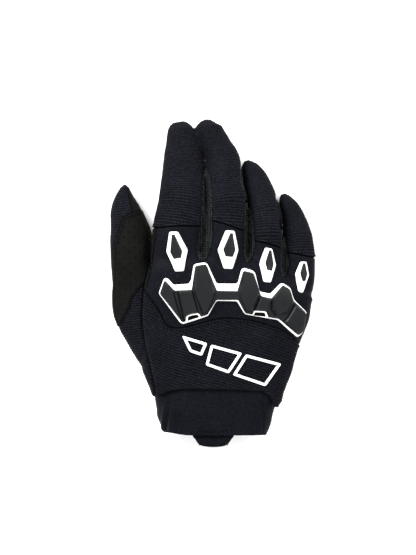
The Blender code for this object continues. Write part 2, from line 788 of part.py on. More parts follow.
def cuff():
    """The padded cuff, a short tube whose sewn end sits inside the hand."""
    wrist = HAND_SECTIONS[0]
    width = hand_width()
    inner_end = WRIST_Y + CUFF_LENGTH * 0.34
    bodies = []
    for wall in (0, CUFF_WALL):
        rings = []
        for along, centre, wide, low, high in CUFF_SECTIONS:
            y = inner_end - along * CUFF_LENGTH
            if wall and along in (0, 1):
                y += 3 * wall * (1 - 2 * along)
            room = wrist[2] * width / 2 - SKIN - SLIP
            bottom = wrist[3] * HAND_DEPTH + SKIN + SLIP
            height = wrist[4] * HAND_DEPTH - SKIN - SLIP - bottom
            middle = bottom + (low + high) / 2 * height
            floor = (SKIN + SLIP) * max(0, 1 + low * 15) + wall
            ring = []
            for side, up in round_section(wide * room - wall, (high - low) / 2 * height - wall,
                                          HAND_ROUNDNESS, HAND_SIDES):
                x = KNUCKLE_X + (wrist[1] + centre) * width + side
                ring.append((x, y, max(middle + up, floor)))
            rings.append(ring)
        bodies.append(loft("cuff form", rings))
    return finish(combine(bodies[0], bodies[1], "DIFFERENCE"), "cuff", "smooth stretch")


def pull_tab(sleeve):
    """The flat tab under the cuff's top edge. It follows the arch of the cuff."""
    edge = WRIST_Y + CUFF_LENGTH * (0.34 - 1)
    middle = KNUCKLE_X + TAB_ACROSS * hand_width()
    vertices = [vert.co for vert in sleeve.data.vertices]
    tree = BVHTree.FromPolygons(vertices, [face.vertices for face in sleeve.data.polygons])
    rings = []
    for along, wide, droop in TAB_ROWS:
        y = edge - along * (TAB_REACH if along > 0 else TAB_TUCK)
        top = []
        for k in range(TAB_COLUMNS):
            x = middle + wide * TAB_WIDTH * (k / (TAB_COLUMNS - 1) - 0.5)
            start = Vector((x, max(y, edge + 0.2 * MM), HAND_DEPTH * 0.3))
            ceiling = tree.ray_cast(start, Vector((0, 0, 1)))[0].z
            top.append(Vector((x, y, ceiling - SEAT - droop * TAB_REACH)))
        bottom = [point - Vector((0, 0, TAB_THICKNESS)) for point in reversed(top)]
        rings.append(top + bottom)
    finish(loft("pull tab", rings), "pull_tab", "ribbed knit")


def armour(form):
    """The knuckle guard, a white base and a black shell with five ridges, and the finger guards."""
    core = GUARD_CORE * HAND_DEPTH

    def place(outline):
        middle = on_hand(*GUARD_MIDDLE)
        return [middle + Vector((a * GUARD_WIDTH, u * GUARD_HEIGHT)) for a, u in outline]

    outline = place(GUARD_OUTLINE)
    seat = form(SEAT)
    base_top = form(SEAT + GUARD_BASE)
    base = combine(prism("guard", outline, core), base_top, "INTERSECT")
    finish(combine(base, seat, "DIFFERENCE"), "knuckle_guard_edge", "white rubber")
    shell_foot = form(SEAT + GUARD_BASE + STACK)
    shell_top = form(SEAT + GUARD_BASE + STACK + GUARD_SHELL)
    ridge_top = form(SEAT + GUARD_BASE + STACK + GUARD_SHELL + GUARD_RIDGE)
    shell = combine(prism("shell", inset(outline, GUARD_RIM), core), shell_top, "INTERSECT")
    for name, ridge in RIDGES.items():
        column = combine(prism(name, place(ridge), core), ridge_top, "INTERSECT")
        shell = combine(shell, column, "UNION")
    finish(combine(shell, shell_foot, "DIFFERENCE"), "knuckle_guard", "black rubber")

    top = form(SEAT + FINGER_GUARD)
    pocket_floor = form(SEAT + FINGER_GUARD - GUARD_POCKET)
    insert_foot = form(SEAT + FINGER_GUARD - GUARD_POCKET + STACK)
    insert_top = form(SEAT + FINGER_GUARD - GUARD_POCKET + STACK + GUARD_INSERT)
    for name in FINGERS:
        guard = FINGER_GUARDS[name]
        middle = on_hand(guard["across"], guard["along"])
        turn = math.radians(guard["tilt"])
        core = digit_row(name, 0.25)[0].z

        def spread(outline):
            points = []
            for a, u in outline:
                x, y = guard["mirror"] * a * guard["width"], u * guard["height"]
                points.append(middle + Vector((x * math.cos(turn) - y * math.sin(turn),
                                               x * math.sin(turn) + y * math.cos(turn))))
            return points if guard["mirror"] > 0 else points[::-1]

        pocket = spread(POCKET)
        body = combine(prism("finger guard", spread(HEXAGON), core), top, "INTERSECT")
        body = combine(body, seat, "DIFFERENCE")
        cut = combine(prism("pocket", pocket, core), pocket_floor, "DIFFERENCE")
        finish(combine(body, cut, "DIFFERENCE"), "finger_guard_" + name, "white rubber")
        insert = combine(prism("insert", inset(pocket, STACK), core), insert_top, "INTERSECT")
        finish(combine(insert, insert_foot, "DIFFERENCE"), "finger_guard_insert_" + name, "black rubber")


def rest_on_origin():
    """Moves everything so that the middle of the glove's underside is the origin."""
    corners = [vert.co for thing in PARTS.objects for vert in thing.data.vertices]
    low = [min(point[axis] for point in corners) for axis in range(3)]
    high = [max(point[axis] for point in corners) for axis in range(3)]
    shift = Vector((-(low[0] + high[0]) / 2, -(low[1] + high[1]) / 2, -low[2]))
    for thing in PARTS.objects:
        for vert in thing.data.vertices:
            vert.co += shift


def main():
    clear_scene()
    sewn_panels(glove_form("outer", 0), glove_form("hollow", SKIN))
    pull_tab(cuff())
    armour(lambda height: join_all([hand_solid("over the hand", -height),
                                    *[digit_solid(name, -height) for name in FINGERS]]))
    rest_on_origin()


main()
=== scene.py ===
import math

import bmesh
import bpy
import numpy as np
from mathutils import Matrix, Vector, noise
from mathutils.bvhtree import BVHTree


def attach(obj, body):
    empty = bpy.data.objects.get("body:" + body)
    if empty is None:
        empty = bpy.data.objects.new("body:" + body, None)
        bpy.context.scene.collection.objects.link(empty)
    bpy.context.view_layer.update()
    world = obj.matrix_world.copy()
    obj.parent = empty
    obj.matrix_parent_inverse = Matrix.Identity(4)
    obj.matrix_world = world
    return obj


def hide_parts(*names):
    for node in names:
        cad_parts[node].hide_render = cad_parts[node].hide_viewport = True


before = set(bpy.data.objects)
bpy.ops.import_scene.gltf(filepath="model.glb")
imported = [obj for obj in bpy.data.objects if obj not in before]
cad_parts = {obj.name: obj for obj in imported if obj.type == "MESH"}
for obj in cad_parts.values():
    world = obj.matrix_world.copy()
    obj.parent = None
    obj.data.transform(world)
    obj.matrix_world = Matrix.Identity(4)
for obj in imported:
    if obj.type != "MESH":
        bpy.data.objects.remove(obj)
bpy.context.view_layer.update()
print("glove frame loaded")

mm = 0.001
fingers = ["index", "middle", "ring", "little"]
fingerPairs = list(zip(fingers, fingers[1:]))

# the hand from wrist to webs, in shares of its width, length and depth
hand = {
    "width": 107.3 * mm, "length": 88 * mm, "depth": 41 * mm, "wristY": -73 * mm, "middleX": 13.6 * mm,
    "hemDrop": 8.6 * mm, "taper": 0.025, "roundness": 2.5, "sides": 96, "rings": 44,
    # the little finger's side lies further back, from this share of the half width on
    "backFrom": 0.1, "backPower": 1.5,
    # along, centre, wide, low, high, roll, back
    "sections": [
        (0.00, -0.097, 0.797, -0.03, 0.83, 0.0, 0.00),
        (0.20, -0.095, 0.915, -0.03, 0.87, 1.0, 0.00),
        (0.38, -0.077, 0.962, 0.00, 0.91, 2.0, 0.00),
        (0.60, -0.046, 1.020, 0.05, 0.95, 4.0, 0.02),
        (0.79, -0.029, 1.018, 0.13, 0.98, 6.0, 0.10),
        (0.92, -0.013, 0.998, 0.22, 0.96, 7.0, 0.25),
        (1.01, -0.008, 0.925, 0.34, 0.88, 7.0, 0.32),
        (1.05, 0.000, 0.755, 0.45, 0.76, 7.0, 0.34),
    ],
}

# the digits in millimetres: the tube's width and depth, its length from the root, and the root's place
digits = {
    name: {"width": width * mm, "depth": depth * mm, "length": length * mm,
           "root": tuple(value * mm for value in root)}
    for name, width, depth, length, root in [
        ("thumb", 32, 29, 122, (-30.2, -58, 14.5)),
        ("index", 32.6, 21.5, 113, (-23.25, -8, 25)),
        ("middle", 29.2, 22, 114.4, (8.25, -8, 26)),
        ("ring", 23.1, 20, 93.6, (35.0, -14, 21)),
        ("little", 19.6, 17.6, 78, (56.95, -20, 15)),
    ]
}
digitShape = {"roundness": 2.2, "sides": 56, "rings": 64, "crowding": 1.25, "lift": 0.4 * mm,
              "sideDrop": 2 * mm, "aheadStep": 0.02, "tableSteps": 200}
digitRows = {
    # along, side, rise, wide, deep
    "thumb": [
        (0.000, 0.000, 1.00, 0.60, 0.80),
        (0.115, -0.188, 1.00, 0.88, 0.93),
        (0.352, -0.531, 1.00, 1.10, 0.95),
        (0.475, -0.625, 1.00, 0.96, 0.94),
        (0.590, -0.715, 0.98, 0.81, 0.93),
        (0.697, -0.705, 0.92, 0.87, 0.94),
        (0.787, -0.756, 0.81, 0.77, 0.85),
        (0.861, -0.820, 0.70, 0.63, 0.73),
        (0.926, -0.844, 0.57, 0.41, 0.56),
        (0.971, -0.838, 0.50, 0.24, 0.35),
        (1.000, -0.825, 0.46, 0.08, 0.12),
    ],
    "index": [
        (0.000, 0.000, 1.00, 1.00, 1.00),
        (0.261, 0.000, 1.11, 1.00, 1.00),
        (0.381, 0.040, 1.12, 1.02, 0.98),
        (0.531, 0.106, 1.00, 0.94, 0.97),
        (0.655, 0.138, 0.78, 0.89, 0.92),
        (0.833, 0.130, 0.45, 0.735, 0.88),
        (0.939, 0.078, 0.33, 0.55, 0.78),
        (0.974, 0.050, 0.30, 0.44, 0.55),
        (1.000, 0.035, 0.29, 0.25, 0.20),
    ],
    "middle": [
        (0.000, 0.000, 1.00, 1.00, 1.00),
        (0.258, 0.000, 1.10, 1.00, 1.00),
        (0.385, 0.030, 1.10, 0.96, 0.98),
        (0.524, 0.046, 1.00, 0.915, 0.96),
        (0.629, -0.007, 0.82, 0.816, 0.90),
        (0.760, -0.040, 0.58, 0.76, 0.87),
        (0.857, -0.198, 0.42, 0.640, 0.84),
        (0.944, -0.368, 0.32, 0.615, 0.75),
        (0.975, -0.385, 0.30, 0.450, 0.55),
        (1.000, -0.378, 0.29, 0.14, 0.18),
    ],
    "ring": [
        (0.000, 0.000, 1.00, 1.00, 1.00),
        (0.278, -0.004, 1.14, 1.02, 1.00),
        (0.449, 0.000, 1.13, 0.998, 0.98),
        (0.641, -0.044, 0.93, 0.920, 0.95),
        (0.726, -0.108, 0.77, 0.828, 0.90),
        (0.876, -0.308, 0.42, 0.70, 0.86),
        (0.929, -0.414, 0.35, 0.57, 0.74),
        (0.972, -0.516, 0.31, 0.40, 0.50),
        (1.000, -0.550, 0.30, 0.14, 0.18),
    ],
    "little": [
        (0.000, -0.200, 1.00, 0.60, 0.85),
        (0.295, -0.015, 1.15, 1.025, 1.00),
        (0.487, -0.035, 1.10, 1.061, 0.98),
        (0.615, -0.068, 0.97, 1.021, 0.94),
        (0.726, -0.138, 0.79, 0.886, 0.95),
        (0.863, -0.294, 0.52, 0.668, 0.90),
        (0.923, -0.429, 0.44, 0.549, 0.76),
        (0.968, -0.520, 0.40, 0.38, 0.50),
        (1.000, -0.594, 0.39, 0.15, 0.18),
    ],
}

# seams of the upper side, in shares of the hand's width and length, or of a digit's length and half width
seamLines = {
    "arc": [(-0.545, 0.790), (-0.449, 0.623), (-0.409, 0.526), (-0.346, 0.497), (-0.247, 0.516),
            (-0.099, 0.564), (0.011, 0.568), (0.149, 0.541), (0.316, 0.469), (0.395, 0.382), (0.560, 0.250)],
    "side": [(-0.470, -0.220), (-0.470, 0.000), (-0.500, 0.200), (-0.535, 0.386), (-0.552, 0.560),
             (-0.547, 0.727), (-0.537, 0.830), (-0.523, 0.898), (-0.512, 0.955), (-0.509, 1.011),
             (-0.505, 1.050)],
    "hem": [(-0.640, -0.004), (-0.447, 0.007), (-0.362, 0.044), (-0.190, 0.052), (0.159, 0.036),
            (0.190, 0.024), (0.232, -0.018), (0.266, -0.099), (0.300, -0.035), (0.40, 0.05)],
    "thumbFront": [(-0.490, 0.990), (-0.520, 0.850), (-0.580, 0.700), (-0.640, 0.580), (-0.780, 0.450)],
    "patch": [(0.846, 1.20), (0.842, 0.50), (0.834, 0.00), (0.818, -0.30), (0.750, -0.58), (0.650, -0.84),
              (0.520, -0.96), (0.400, -1.00), (0.335, -1.03), (0.288, -1.01), (0.316, -0.72),
              (0.354, -0.40), (0.402, -0.20)],
    "patchFoot": (-0.537, 0.830),
    # in millimetres: behind the patch, over the thumb's tip, and along the index finger's root
    "patchBack": [(-44.5, 2), (-38, 20), (-40, 48)],
    "tip": [(-55.6, 70), (-55.2, 62), (-54.0, 56), (-52.6, 50), (-51.4, 42)],
    "edge": [(-36.0, 37), (-37.2, 28), (-38.8, 16), (-40.6, 6), (-42.4, -3)],
    # mesh strips: along, towards the thumb, towards the little finger
    "strip": [(0.30, 0.62, 0.84), (0.42, 0.68, 0.86), (0.54, 0.76, 0.88), (0.66, 0.84, 0.88)],
    "stripEnd": (0.74, 1.06), "stripRoom": 0.30, "slotShare": 0.40, "slotEnd": 1.5 * mm, "slotRoom": 3 * mm,
    "webHeight": 4 * mm, "webY": {"index": 15.6 * mm, "middle": 14.8 * mm, "ring": 5.1 * mm},
    # across the fingers: above, at each side, and below
    "cross": {"index": (0.366, 0.415), "middle": (0.42, 0.37), "ring": (0.443, 0.394),
              "little": (0.52, 0.455)},
    "crossBend": 0.008, "crossStart": -1.12,
    "front": {"index": 0.27, "middle": 0.27, "ring": 0.375, "little": 0.40},
    "frontReach": 1.04, "outerReach": 1.3,
}

# how the cloth is cut and sewn
cloth = {
    "voxel": 0.85 * mm, "wall": 1.2 * mm, "creaseAngle": 50,
    "grooveWidth": 0.42 * mm, "grooveCuts": (-2.4, -1, 0, 1, 2.4), "hemReach": 2.2 * mm, "seamReach": 4 * mm,
    "sideCut": 0.45 * mm, "sideGroove": 0.30 * mm, "sideReach": 2 * mm,
    "fingerRib": 1.65 * mm, "handRib": 1.8 * mm, "ribRise": 0.21 * mm,
    # how high the ribs are on the hand and at the fingertips, and over which share of a finger they fade
    "handShare": 0.85, "tipShare": 0.55, "fadeEnd": 0.70, "fadeLength": 0.2,
    # scale and height of the unevenness of worn cloth
    "wear": [(70, 0.30 * mm, (0, 0, 0)), (190, 0.16 * mm, (5, 1, 2))],
}


# no overshoot between rows
def smoothRow(rows, along):
    along = min(max(along, rows[0][0]), rows[-1][0])
    i = max(k for k in range(len(rows) - 1) if rows[k][0] <= along)
    low, high = rows[i], rows[i + 1]
    step = high[0] - low[0]
    t = (along - low[0]) / step
    values = []
    for column in range(1, len(low)):
        slope = (high[column] - low[column]) / step
        ends = []
        for k in (i, i + 1):
            if 0 < k < len(rows) - 1:
                before = (rows[k][column] - rows[k - 1][column]) / (rows[k][0] - rows[k - 1][0])
                after = (rows[k + 1][column] - rows[k][column]) / (rows[k + 1][0] - rows[k][0])
                ends.append(2 * before * after / (before + after) if before * after > 0 else 0)
            else:
                ends.append(slope)
        a, b = ends
        values.append(low[column] * (1 + 2 * t) * (1 - t) ** 2 + a * step * t * (1 - t) ** 2
                      + high[column] * t * t * (3 - 2 * t) + b * step * t * t * (t - 1))
    return values


def smoothPath(points, steps):
    points = [Vector(point) for point in points]
    ends = [2 * points[0] - points[1], *points, 2 * points[-1] - points[-2]]
    path = []
    for i in range(len(points) - 1):
        a, b, c, d = ends[i:i + 4]
        for k in range(steps):
            t = k / steps
            path.append(0.5 * (2 * b + (c - a) * t + (2 * a - 5 * b + 4 * c - d) * t * t
                               + (3 * b - a - 3 * c + d) * t ** 3))
    return [*path, points[-1]]


def onHand(across, along):
    return Vector((hand["middleX"] + across * hand["width"], hand["wristY"] + along * hand["length"]))


def digitMiddle(name, along):
    digit = digits[name]
    side, rise, wide, deep = smoothRow(digitRows[name], along)
    x, y, z = digit["root"]
    place = Vector((x + side * digit["width"], y + along * digit["length"], rise * z))
    return place, wide * digit["width"] / 2, deep * digit["depth"] / 2


def digitAhead(name, along):
    low, high = max(along - digitShape["aheadStep"], 0), min(along + digitShape["aheadStep"], 1)
    return (digitMiddle(name, high)[0] - digitMiddle(name, low)[0]).normalized()


def digitPoint(name, along, side):
    middle, half, _ = digitMiddle(name, along)
    ahead = digitAhead(name, along)
    return middle.xy + Vector((ahead.y, -ahead.x)).normalized() * side * half


def roundSection(halfWide, halfDeep, roundness, sides):
    points = []
    for k in range(sides):
        angle = 2 * math.pi * k / sides
        c, s = math.cos(angle), math.sin(angle)
        points.append((halfWide * math.copysign(abs(c) ** (2 / roundness), c),
                       halfDeep * math.copysign(abs(s) ** (2 / roundness), s)))
    return points


# circles laid at each section, bridged, with both ends closed
def addTube(shape, rings, capped=True):
    loops = []
    for ring in rings:
        made = bmesh.ops.create_circle(shape, cap_ends=False, segments=len(ring), radius=1)["verts"]
        for vert, place in zip(made, ring):
            vert.co = place
        loops.append(list({edge for vert in made for edge in vert.link_edges}))
    for low, high in zip(loops, loops[1:]):
        bmesh.ops.bridge_loops(shape, edges=low + high)
    if capped:
        for edges in (loops[0], loops[-1]):
            bmesh.ops.edgeloop_fill(shape, edges=edges)
    return loops


def newObject(name, shape):
    mesh = bpy.data.meshes.new(name)
    shape.to_mesh(mesh)
    shape.free()
    thing = bpy.data.objects.new(name, mesh)
    bpy.context.scene.collection.objects.link(thing)
    return thing


def applyModifiers(thing):
    graph = bpy.context.evaluated_depsgraph_get()
    mesh = bpy.data.meshes.new_from_object(thing.evaluated_get(graph))
    old = thing.data
    thing.modifiers.clear()
    thing.data = mesh
    mesh.name = thing.name
    bpy.data.meshes.remove(old)


# the whole glove's form

firstRow = hand["sections"][0]
handRows = [(-hand["hemDrop"] / hand["length"], firstRow[1], firstRow[2] - hand["taper"], *firstRow[3:]),
            *hand["sections"]]


def handRing(along):
    centre, wide, low, high, roll, back = smoothRow(handRows, along)
    width, depth = hand["width"], hand["depth"]
    x, z = hand["middleX"] + centre * width, (low + high) / 2 * depth
    y, turn = hand["wristY"] + along * hand["length"], math.radians(roll)
    ring = []
    halves = wide * width / 2, (high - low) / 2 * depth
    for side, up in roundSection(*halves, hand["roundness"], hand["sides"]):
        outward = max(side / (width / 2) - hand["backFrom"], 0)
        height = z + up * math.cos(turn) - side * math.sin(turn)
        ring.append((x + side * math.cos(turn) + up * math.sin(turn),
                     y - back * hand["length"] * outward ** hand["backPower"], max(height, 0)))
    return ring


def digitRing(name, along):
    middle, halfWide, halfDeep = digitMiddle(name, along)
    ahead = digitAhead(name, along)
    across = Vector((ahead.y, -ahead.x, 0)).normalized()
    upwards = across.cross(ahead)
    ring = []
    for side, up in roundSection(halfWide, halfDeep, digitShape["roundness"], digitShape["sides"]):
        point = middle + across * side + upwards * up
        point.z = max(point.z, digitShape["lift"])
        ring.append(point)
    return ring


def makeForm():
    shape = bmesh.new()
    first, last, count = handRows[0][0], handRows[-1][0], hand["rings"]
    addTube(shape, [handRing(first + (last - first) * k / count) for k in range(count + 1)])
    # rings crowd towards the fingertip
    count = digitShape["rings"]
    alongs = [1 - (1 - k / count) ** digitShape["crowding"] for k in range(count + 1)]
    for name in digits:
        addTube(shape, [digitRing(name, along) for along in alongs])
    bmesh.ops.recalc_face_normals(shape, faces=shape.faces)
    form = newObject("form", shape)
    remesh = form.modifiers.new("remesh", "REMESH")
    remesh.mode = "VOXEL"
    remesh.voxel_size = cloth["voxel"]
    applyModifiers(form)
    return form


form = makeForm()
print("form", len(form.data.polygons), "faces")


# lines on the glove

def stripLine(before, after):
    end, reach = seamLines["stripEnd"]
    root = seamLines["strip"][0][0]
    webX = (digitPoint(before, root, 1).x + digitPoint(after, root, -1).x) / 2
    web = Vector((webX, seamLines["webY"][before]))
    down = [digitPoint(before, end, reach)]
    down += [digitPoint(before, along, right) for along, _, right in reversed(seamLines["strip"])]
    up = [digitPoint(after, along, -left) for along, left, _ in seamLines["strip"]]
    up += [digitPoint(after, end, -reach)]
    down, up = ([point for point in side if point.y > web.y + seamLines["webHeight"]] for side in (down, up))
    room = Vector(((up[0].x - down[-1].x) * seamLines["stripRoom"], 0))
    return smoothPath([*down, web - room, web + room, *up], 3)


# the fold at the bottom of a strip, nearer to the thumb's side
def slotLine(before, after):
    web = seamLines["webY"][before] + seamLines["slotEnd"]
    points = [digitPoint(before, along, right).lerp(digitPoint(after, along, -left), seamLines["slotShare"])
              for along, left, right in reversed(seamLines["strip"])]
    points = [point for point in points if point.y > web + seamLines["slotRoom"]]
    return smoothPath([*points, Vector((points[-1].x, web))], 4)


def crossLine(name):
    left, right = seamLines["cross"][name]
    start = seamLines["crossStart"] if name == "index" else -smoothRow(seamLines["strip"], left)[0]
    end = seamLines["outerReach"] if name == "little" else smoothRow(seamLines["strip"], right)[1]
    return smoothPath([digitPoint(name, left, start),
                       digitPoint(name, (left + right) / 2 + seamLines["crossBend"], 0),
                       digitPoint(name, right, end)], 5)


def frontLine(name):
    reach = seamLines["frontReach"]
    end = seamLines["outerReach"] if name == "little" else reach
    return [digitPoint(name, seamLines["front"][name], side) for side in (-reach, 0, end)]


def inMillimetres(points):
    return [Vector(point) * mm for point in points]


lines = {name: smoothPath([onHand(*share) for share in seamLines[name]], 3)
         for name in ("arc", "side", "hem", "thumbFront")}
lines["patch"] = smoothPath([*[digitPoint("thumb", *share) for share in seamLines["patch"]],
                             onHand(*seamLines["patchFoot"])], 4)
for name in ("tip", "edge"):
    lines[name] = smoothPath(inMillimetres(seamLines[name]), 3)
for before, after in fingerPairs:
    lines["strip_" + before] = stripLine(before, after)
    lines["slot_" + before] = slotLine(before, after)
for name in fingers:
    lines["cross_" + name] = crossLine(name)
    lines["front_" + name] = frontLine(name)
patchOutline = [*lines["patch"], *inMillimetres(seamLines["patchBack"])]


# the distance from a line, positive on its left, then whether the foot is on it, then the plain distance
def lineDistance(line, x, y):
    best, signed, inside = 1e9, 0, True
    last = len(line) - 2
    for i in range(last + 1):
        a, b = line[i], line[i + 1]
        dx, dy = b.x - a.x, b.y - a.y
        size = dx * dx + dy * dy
        t = ((x - a.x) * dx + (y - a.y) * dy) / size
        on = (t >= 0 or i > 0) and (t <= 1 or i < last)
        clamped = min(max(t, 0), 1)
        gap = math.hypot(x - a.x - clamped * dx, y - a.y - clamped * dy)
        if gap < best - 1e-9:
            cross = (dx * (y - a.y) - dy * (x - a.x)) / math.sqrt(size)
            if 0 <= t <= 1 or (t < 0 and i == 0) or (t > 1 and i == last):
                signed = cross
            else:
                signed = math.copysign(gap, cross)
            best, inside = gap, on
    return signed, inside, best


def box2d(points, margin):
    xs, ys = [p[0] for p in points], [p[1] for p in points]
    return min(xs) - margin, max(xs) + margin, min(ys) - margin, max(ys) + margin


def insideOutline(x, y, outline):
    found = False
    for i, b in enumerate(outline):
        a = outline[i - 1]
        if (a[1] > y) != (b[1] > y) and x < (b[0] - a[0]) * (y - a[1]) / (b[1] - a[1]) + a[0]:
            found = not found
    return found


# tables of the digits' middle lines, so that the seams find them quickly
def shareAlong(name, y):
    return (y - digits[name]["root"][1]) / digits[name]["length"]


def tablePlace(share):
    return int(min(max(share, 0), 1) * digitShape["tableSteps"])


digitTable, pathTable = {}, {}
for name in digits:
    rows = []
    for k in range(digitShape["tableSteps"] + 1):
        share = k / digitShape["tableSteps"]
        middle, half, _ = digitMiddle(name, share)
        rows.append((middle, half, digitAhead(name, share)))
    run = [0]
    for low, high in zip(rows, rows[1:]):
        run.append(run[-1] + (high[0] - low[0]).length)
    digitTable[name], pathTable[name] = rows, run

# the side seam runs through the digits' middles, with a row for each step in y
sideRows = {"start": -120 * mm, "step": 0.5 * mm, "count": 500}
sideTable = []
for k in range(sideRows["count"]):
    row = []
    for name in digits:
        share = shareAlong(name, sideRows["start"] + k * sideRows["step"])
        middle = digitMiddle(name, min(max(share, 0), 1))[0]
        row.append((middle.x, middle.z - digitShape["sideDrop"]))
    sideTable.append(row)


def sideHeight(x, y):
    k = int((y - sideRows["start"]) / sideRows["step"] + 0.5)
    row = sideTable[min(max(k, 0), sideRows["count"] - 1)]
    if x <= row[0][0]:
        return row[0][1]
    for (x0, z0), (x1, z1) in zip(row, row[1:]):
        if x <= x1:
            return z0 + (z1 - z0) * (x - x0) / max(x1 - x0, 1e-6)
    return row[-1][1]


# the finger whose tube reaches furthest towards a place
def nearestFinger(x, y):
    def away(name):
        middle, half, _ = digitTable[name][tablePlace(shareAlong(name, y))]
        return abs(x - middle.x) / max(half, 1e-4)

    return min(fingers, key=away)


# how far a point lies along a digit, in metres of its middle line
def digitAlong(name, point):
    step = digitShape["aheadStep"]
    k = tablePlace(min(max(shareAlong(name, point.y), step), 1 - step))
    middle, _, ahead = digitTable[name][k]
    return pathTable[name][k] + (point - middle).dot(ahead)


# cutting the form along level lines of a value

# shares of the step between levels, the step of a lone level, how many levels count as many,
# and how far beside a line its cuts reach
cutting = {"snap": 0.06, "lone": 0.4 * mm, "many": 12, "nearEnd": 0.001,
           "reach": 1.2 * mm, "beyond": 1.5 * mm, "below": 0.5 * mm}


# splits faces wherever the value passes one of the levels, which climb. with many, they are evenly spaced
def cutLevels(shape, faces, valueOf, levels):
    values = {vert: valueOf(vert.co) for vert in dict.fromkeys(vert for face in faces for vert in face.verts)}
    if all(value is None for value in values.values()):
        return
    step = (levels[-1] - levels[0]) / (len(levels) - 1) if len(levels) > 1 else cutting["lone"]
    snap = step * cutting["snap"]
    onLevel = {}

    def near(low, high):
        start, stop = 0, len(levels)
        if stop > cutting["many"]:
            start = max(int((low - levels[0]) / step) - 1, 0)
            stop = min(int((high - levels[0]) / step) + 2, stop)
        return [k for k in range(start, stop) if low < levels[k] < high]

    for vert, value in values.items():
        if value is not None:
            for k in near(value - snap, value + snap):
                onLevel[vert] = k
    for edge in {edge for face in faces for edge in face.edges}:
        a, b = edge.verts
        here, end = values.get(a), values.get(b)
        if here is None or end is None:
            continue
        ends = onLevel.get(a), onLevel.get(b)
        crossed = [k for k in near(min(here, end), max(here, end)) if k not in ends]
        if here > end:
            crossed.reverse()
        for k in crossed:
            share = (levels[k] - here) / (end - here)
            if cutting["nearEnd"] < share < 1 - cutting["nearEnd"]:
                _, a = bmesh.utils.edge_split(edge, a, share)
                onLevel[a] = k
                edge = next(e for e in a.link_edges if e.other_vert(a) is b)
                here = levels[k]
    for face in faces:
        todo = [face]
        while todo:
            part = todo.pop()
            corners = list(part.verts)
            byLevel = {}
            for i, vert in enumerate(corners):
                if vert in onLevel:
                    byLevel.setdefault(onLevel[vert], []).append(i)
            for marks in byLevel.values():
                if len(marks) == 2 and (marks[1] - marks[0]) % len(corners) not in (1, len(corners) - 1):
                    other, _ = bmesh.utils.face_split(part, corners[marks[0]], corners[marks[1]])
                    todo += [part, other]
                    break


# cuts the upper or the lower side along a line and beside it
def cutAlong(shape, line, offsets, above):
    reach = max(offsets) + cutting["reach"]
    x0, x1, y0, y1 = box2d(line, reach)
    faces = []
    for face in shape.faces:
        c = face.calc_center_median()
        if x0 < c.x < x1 and y0 < c.y < y1 and (c.z > sideHeight(c.x, c.y) - cutting["below"]) == above:
            if lineDistance(line, c.x, c.y)[2] < reach:
                faces.append(face)

    def value(point):
        signed, inside, gap = lineDistance(line, point.x, point.y)
        return signed if inside and gap < reach + cutting["beyond"] else None

    cutLevels(shape, faces, value, offsets)


# the ribs of the back lie across it, lower on the little finger's side
backRibs = {"slope": 0.27, "bendFrom": -20 * mm, "bend": 9, "lean": 0.22, "height": 30 * mm}
thumbSlope = 0.12


def handAlong(point):
    left = max(backRibs["bendFrom"] - point.x, 0)
    return (point.y + backRibs["slope"] * point.x - backRibs["bend"] * left * left
            - backRibs["lean"] * (point.z - backRibs["height"]))


ribValue = {"back_panel": handAlong, "thumb_back": lambda point: point.y - thumbSlope * point.x}
for name in fingers:
    ribValue["finger_back_" + name] = lambda point, name=name: digitAlong(name, point)

# the palm's corners at the wrist are cut round. each has its end, its slope and where that starts
wristCorners = {"little": (-82.2 * mm, 1.3, 41.3 * mm), "thumb": (-73.8 * mm, -0.8, -38 * mm)}
# bounds in x and y that keep a seam to its own part of the glove
zones = {"hem": -60 * mm, "thumb": -30 * mm, "tip": 40 * mm, "edge": (-3 * mm, 36 * mm), "crossFrom": 0.3,
         "frontX": -34 * mm, "frontY": -40 * mm, "cornerY": -70 * mm, "corners": (-26 * mm, 38 * mm),
         "cornerRoom": 1 * mm, "websX": -42 * mm, "websY": (-8 * mm, 30 * mm)}


def wristCorner(point):
    end, slope, start = wristCorners["little" if point.x > 0 else "thumb"]
    return point.y - end - slope * max(point.x - start, 0)


def inCorners(x, y, room):
    left, right = zones["corners"]
    return (x < left + room or x > right - room) and y < zones["cornerY"]


# which panel a point of the form belongs to
def faceLabel(c):
    x, y = c.x, c.y
    if c.z > sideHeight(x, y):
        if lineDistance(lines["hem"], x, y)[0] < 0 and y < zones["hem"]:
            return "hole"
        if x < zones["thumb"] and lineDistance(lines["side"], x, y)[0] > 0:
            if insideOutline(x, y, patchOutline):
                return "thumb_patch"
            if y > zones["tip"] and lineDistance(lines["tip"], x, y)[0] > 0:
                return "thumb_front"
            return "thumb_back"
        if x < zones["thumb"] and zones["edge"][0] < y < zones["edge"][1]:
            if lineDistance(lines["edge"], x, y)[0] < 0:
                return "palm"
        if y > 0:
            for before, after in fingerPairs:
                if insideOutline(x, y, lines["strip_" + before]):
                    return "finger_strip_" + before + "_" + after
            name = nearestFinger(x, y)
            if shareAlong(name, y) > zones["crossFrom"] and lineDistance(lines["cross_" + name], x, y)[0] > 0:
                return "finger_back_" + name
        return "back_panel" if lineDistance(lines["arc"], x, y)[0] < 0 else "knuckle_panel"
    if inCorners(x, y, 0) and wristCorner(c) < 0:
        return "hole"
    if x < zones["frontX"] and y > zones["frontY"] and lineDistance(lines["thumbFront"], x, y)[0] < 0:
        return "thumb_front"
    if y > 0:
        name = nearestFinger(x, y)
        if lineDistance(lines["front_" + name], x, y)[0] > 0:
            return "finger_front_" + name
    return "palm"


panelNames = ["hole", "palm", "thumb_front", "thumb_back", "thumb_patch", "back_panel", "knuckle_panel",
              *["finger_back_" + name for name in fingers], *["finger_front_" + name for name in fingers],
              *["finger_strip_" + before + "_" + after for before, after in fingerPairs]]

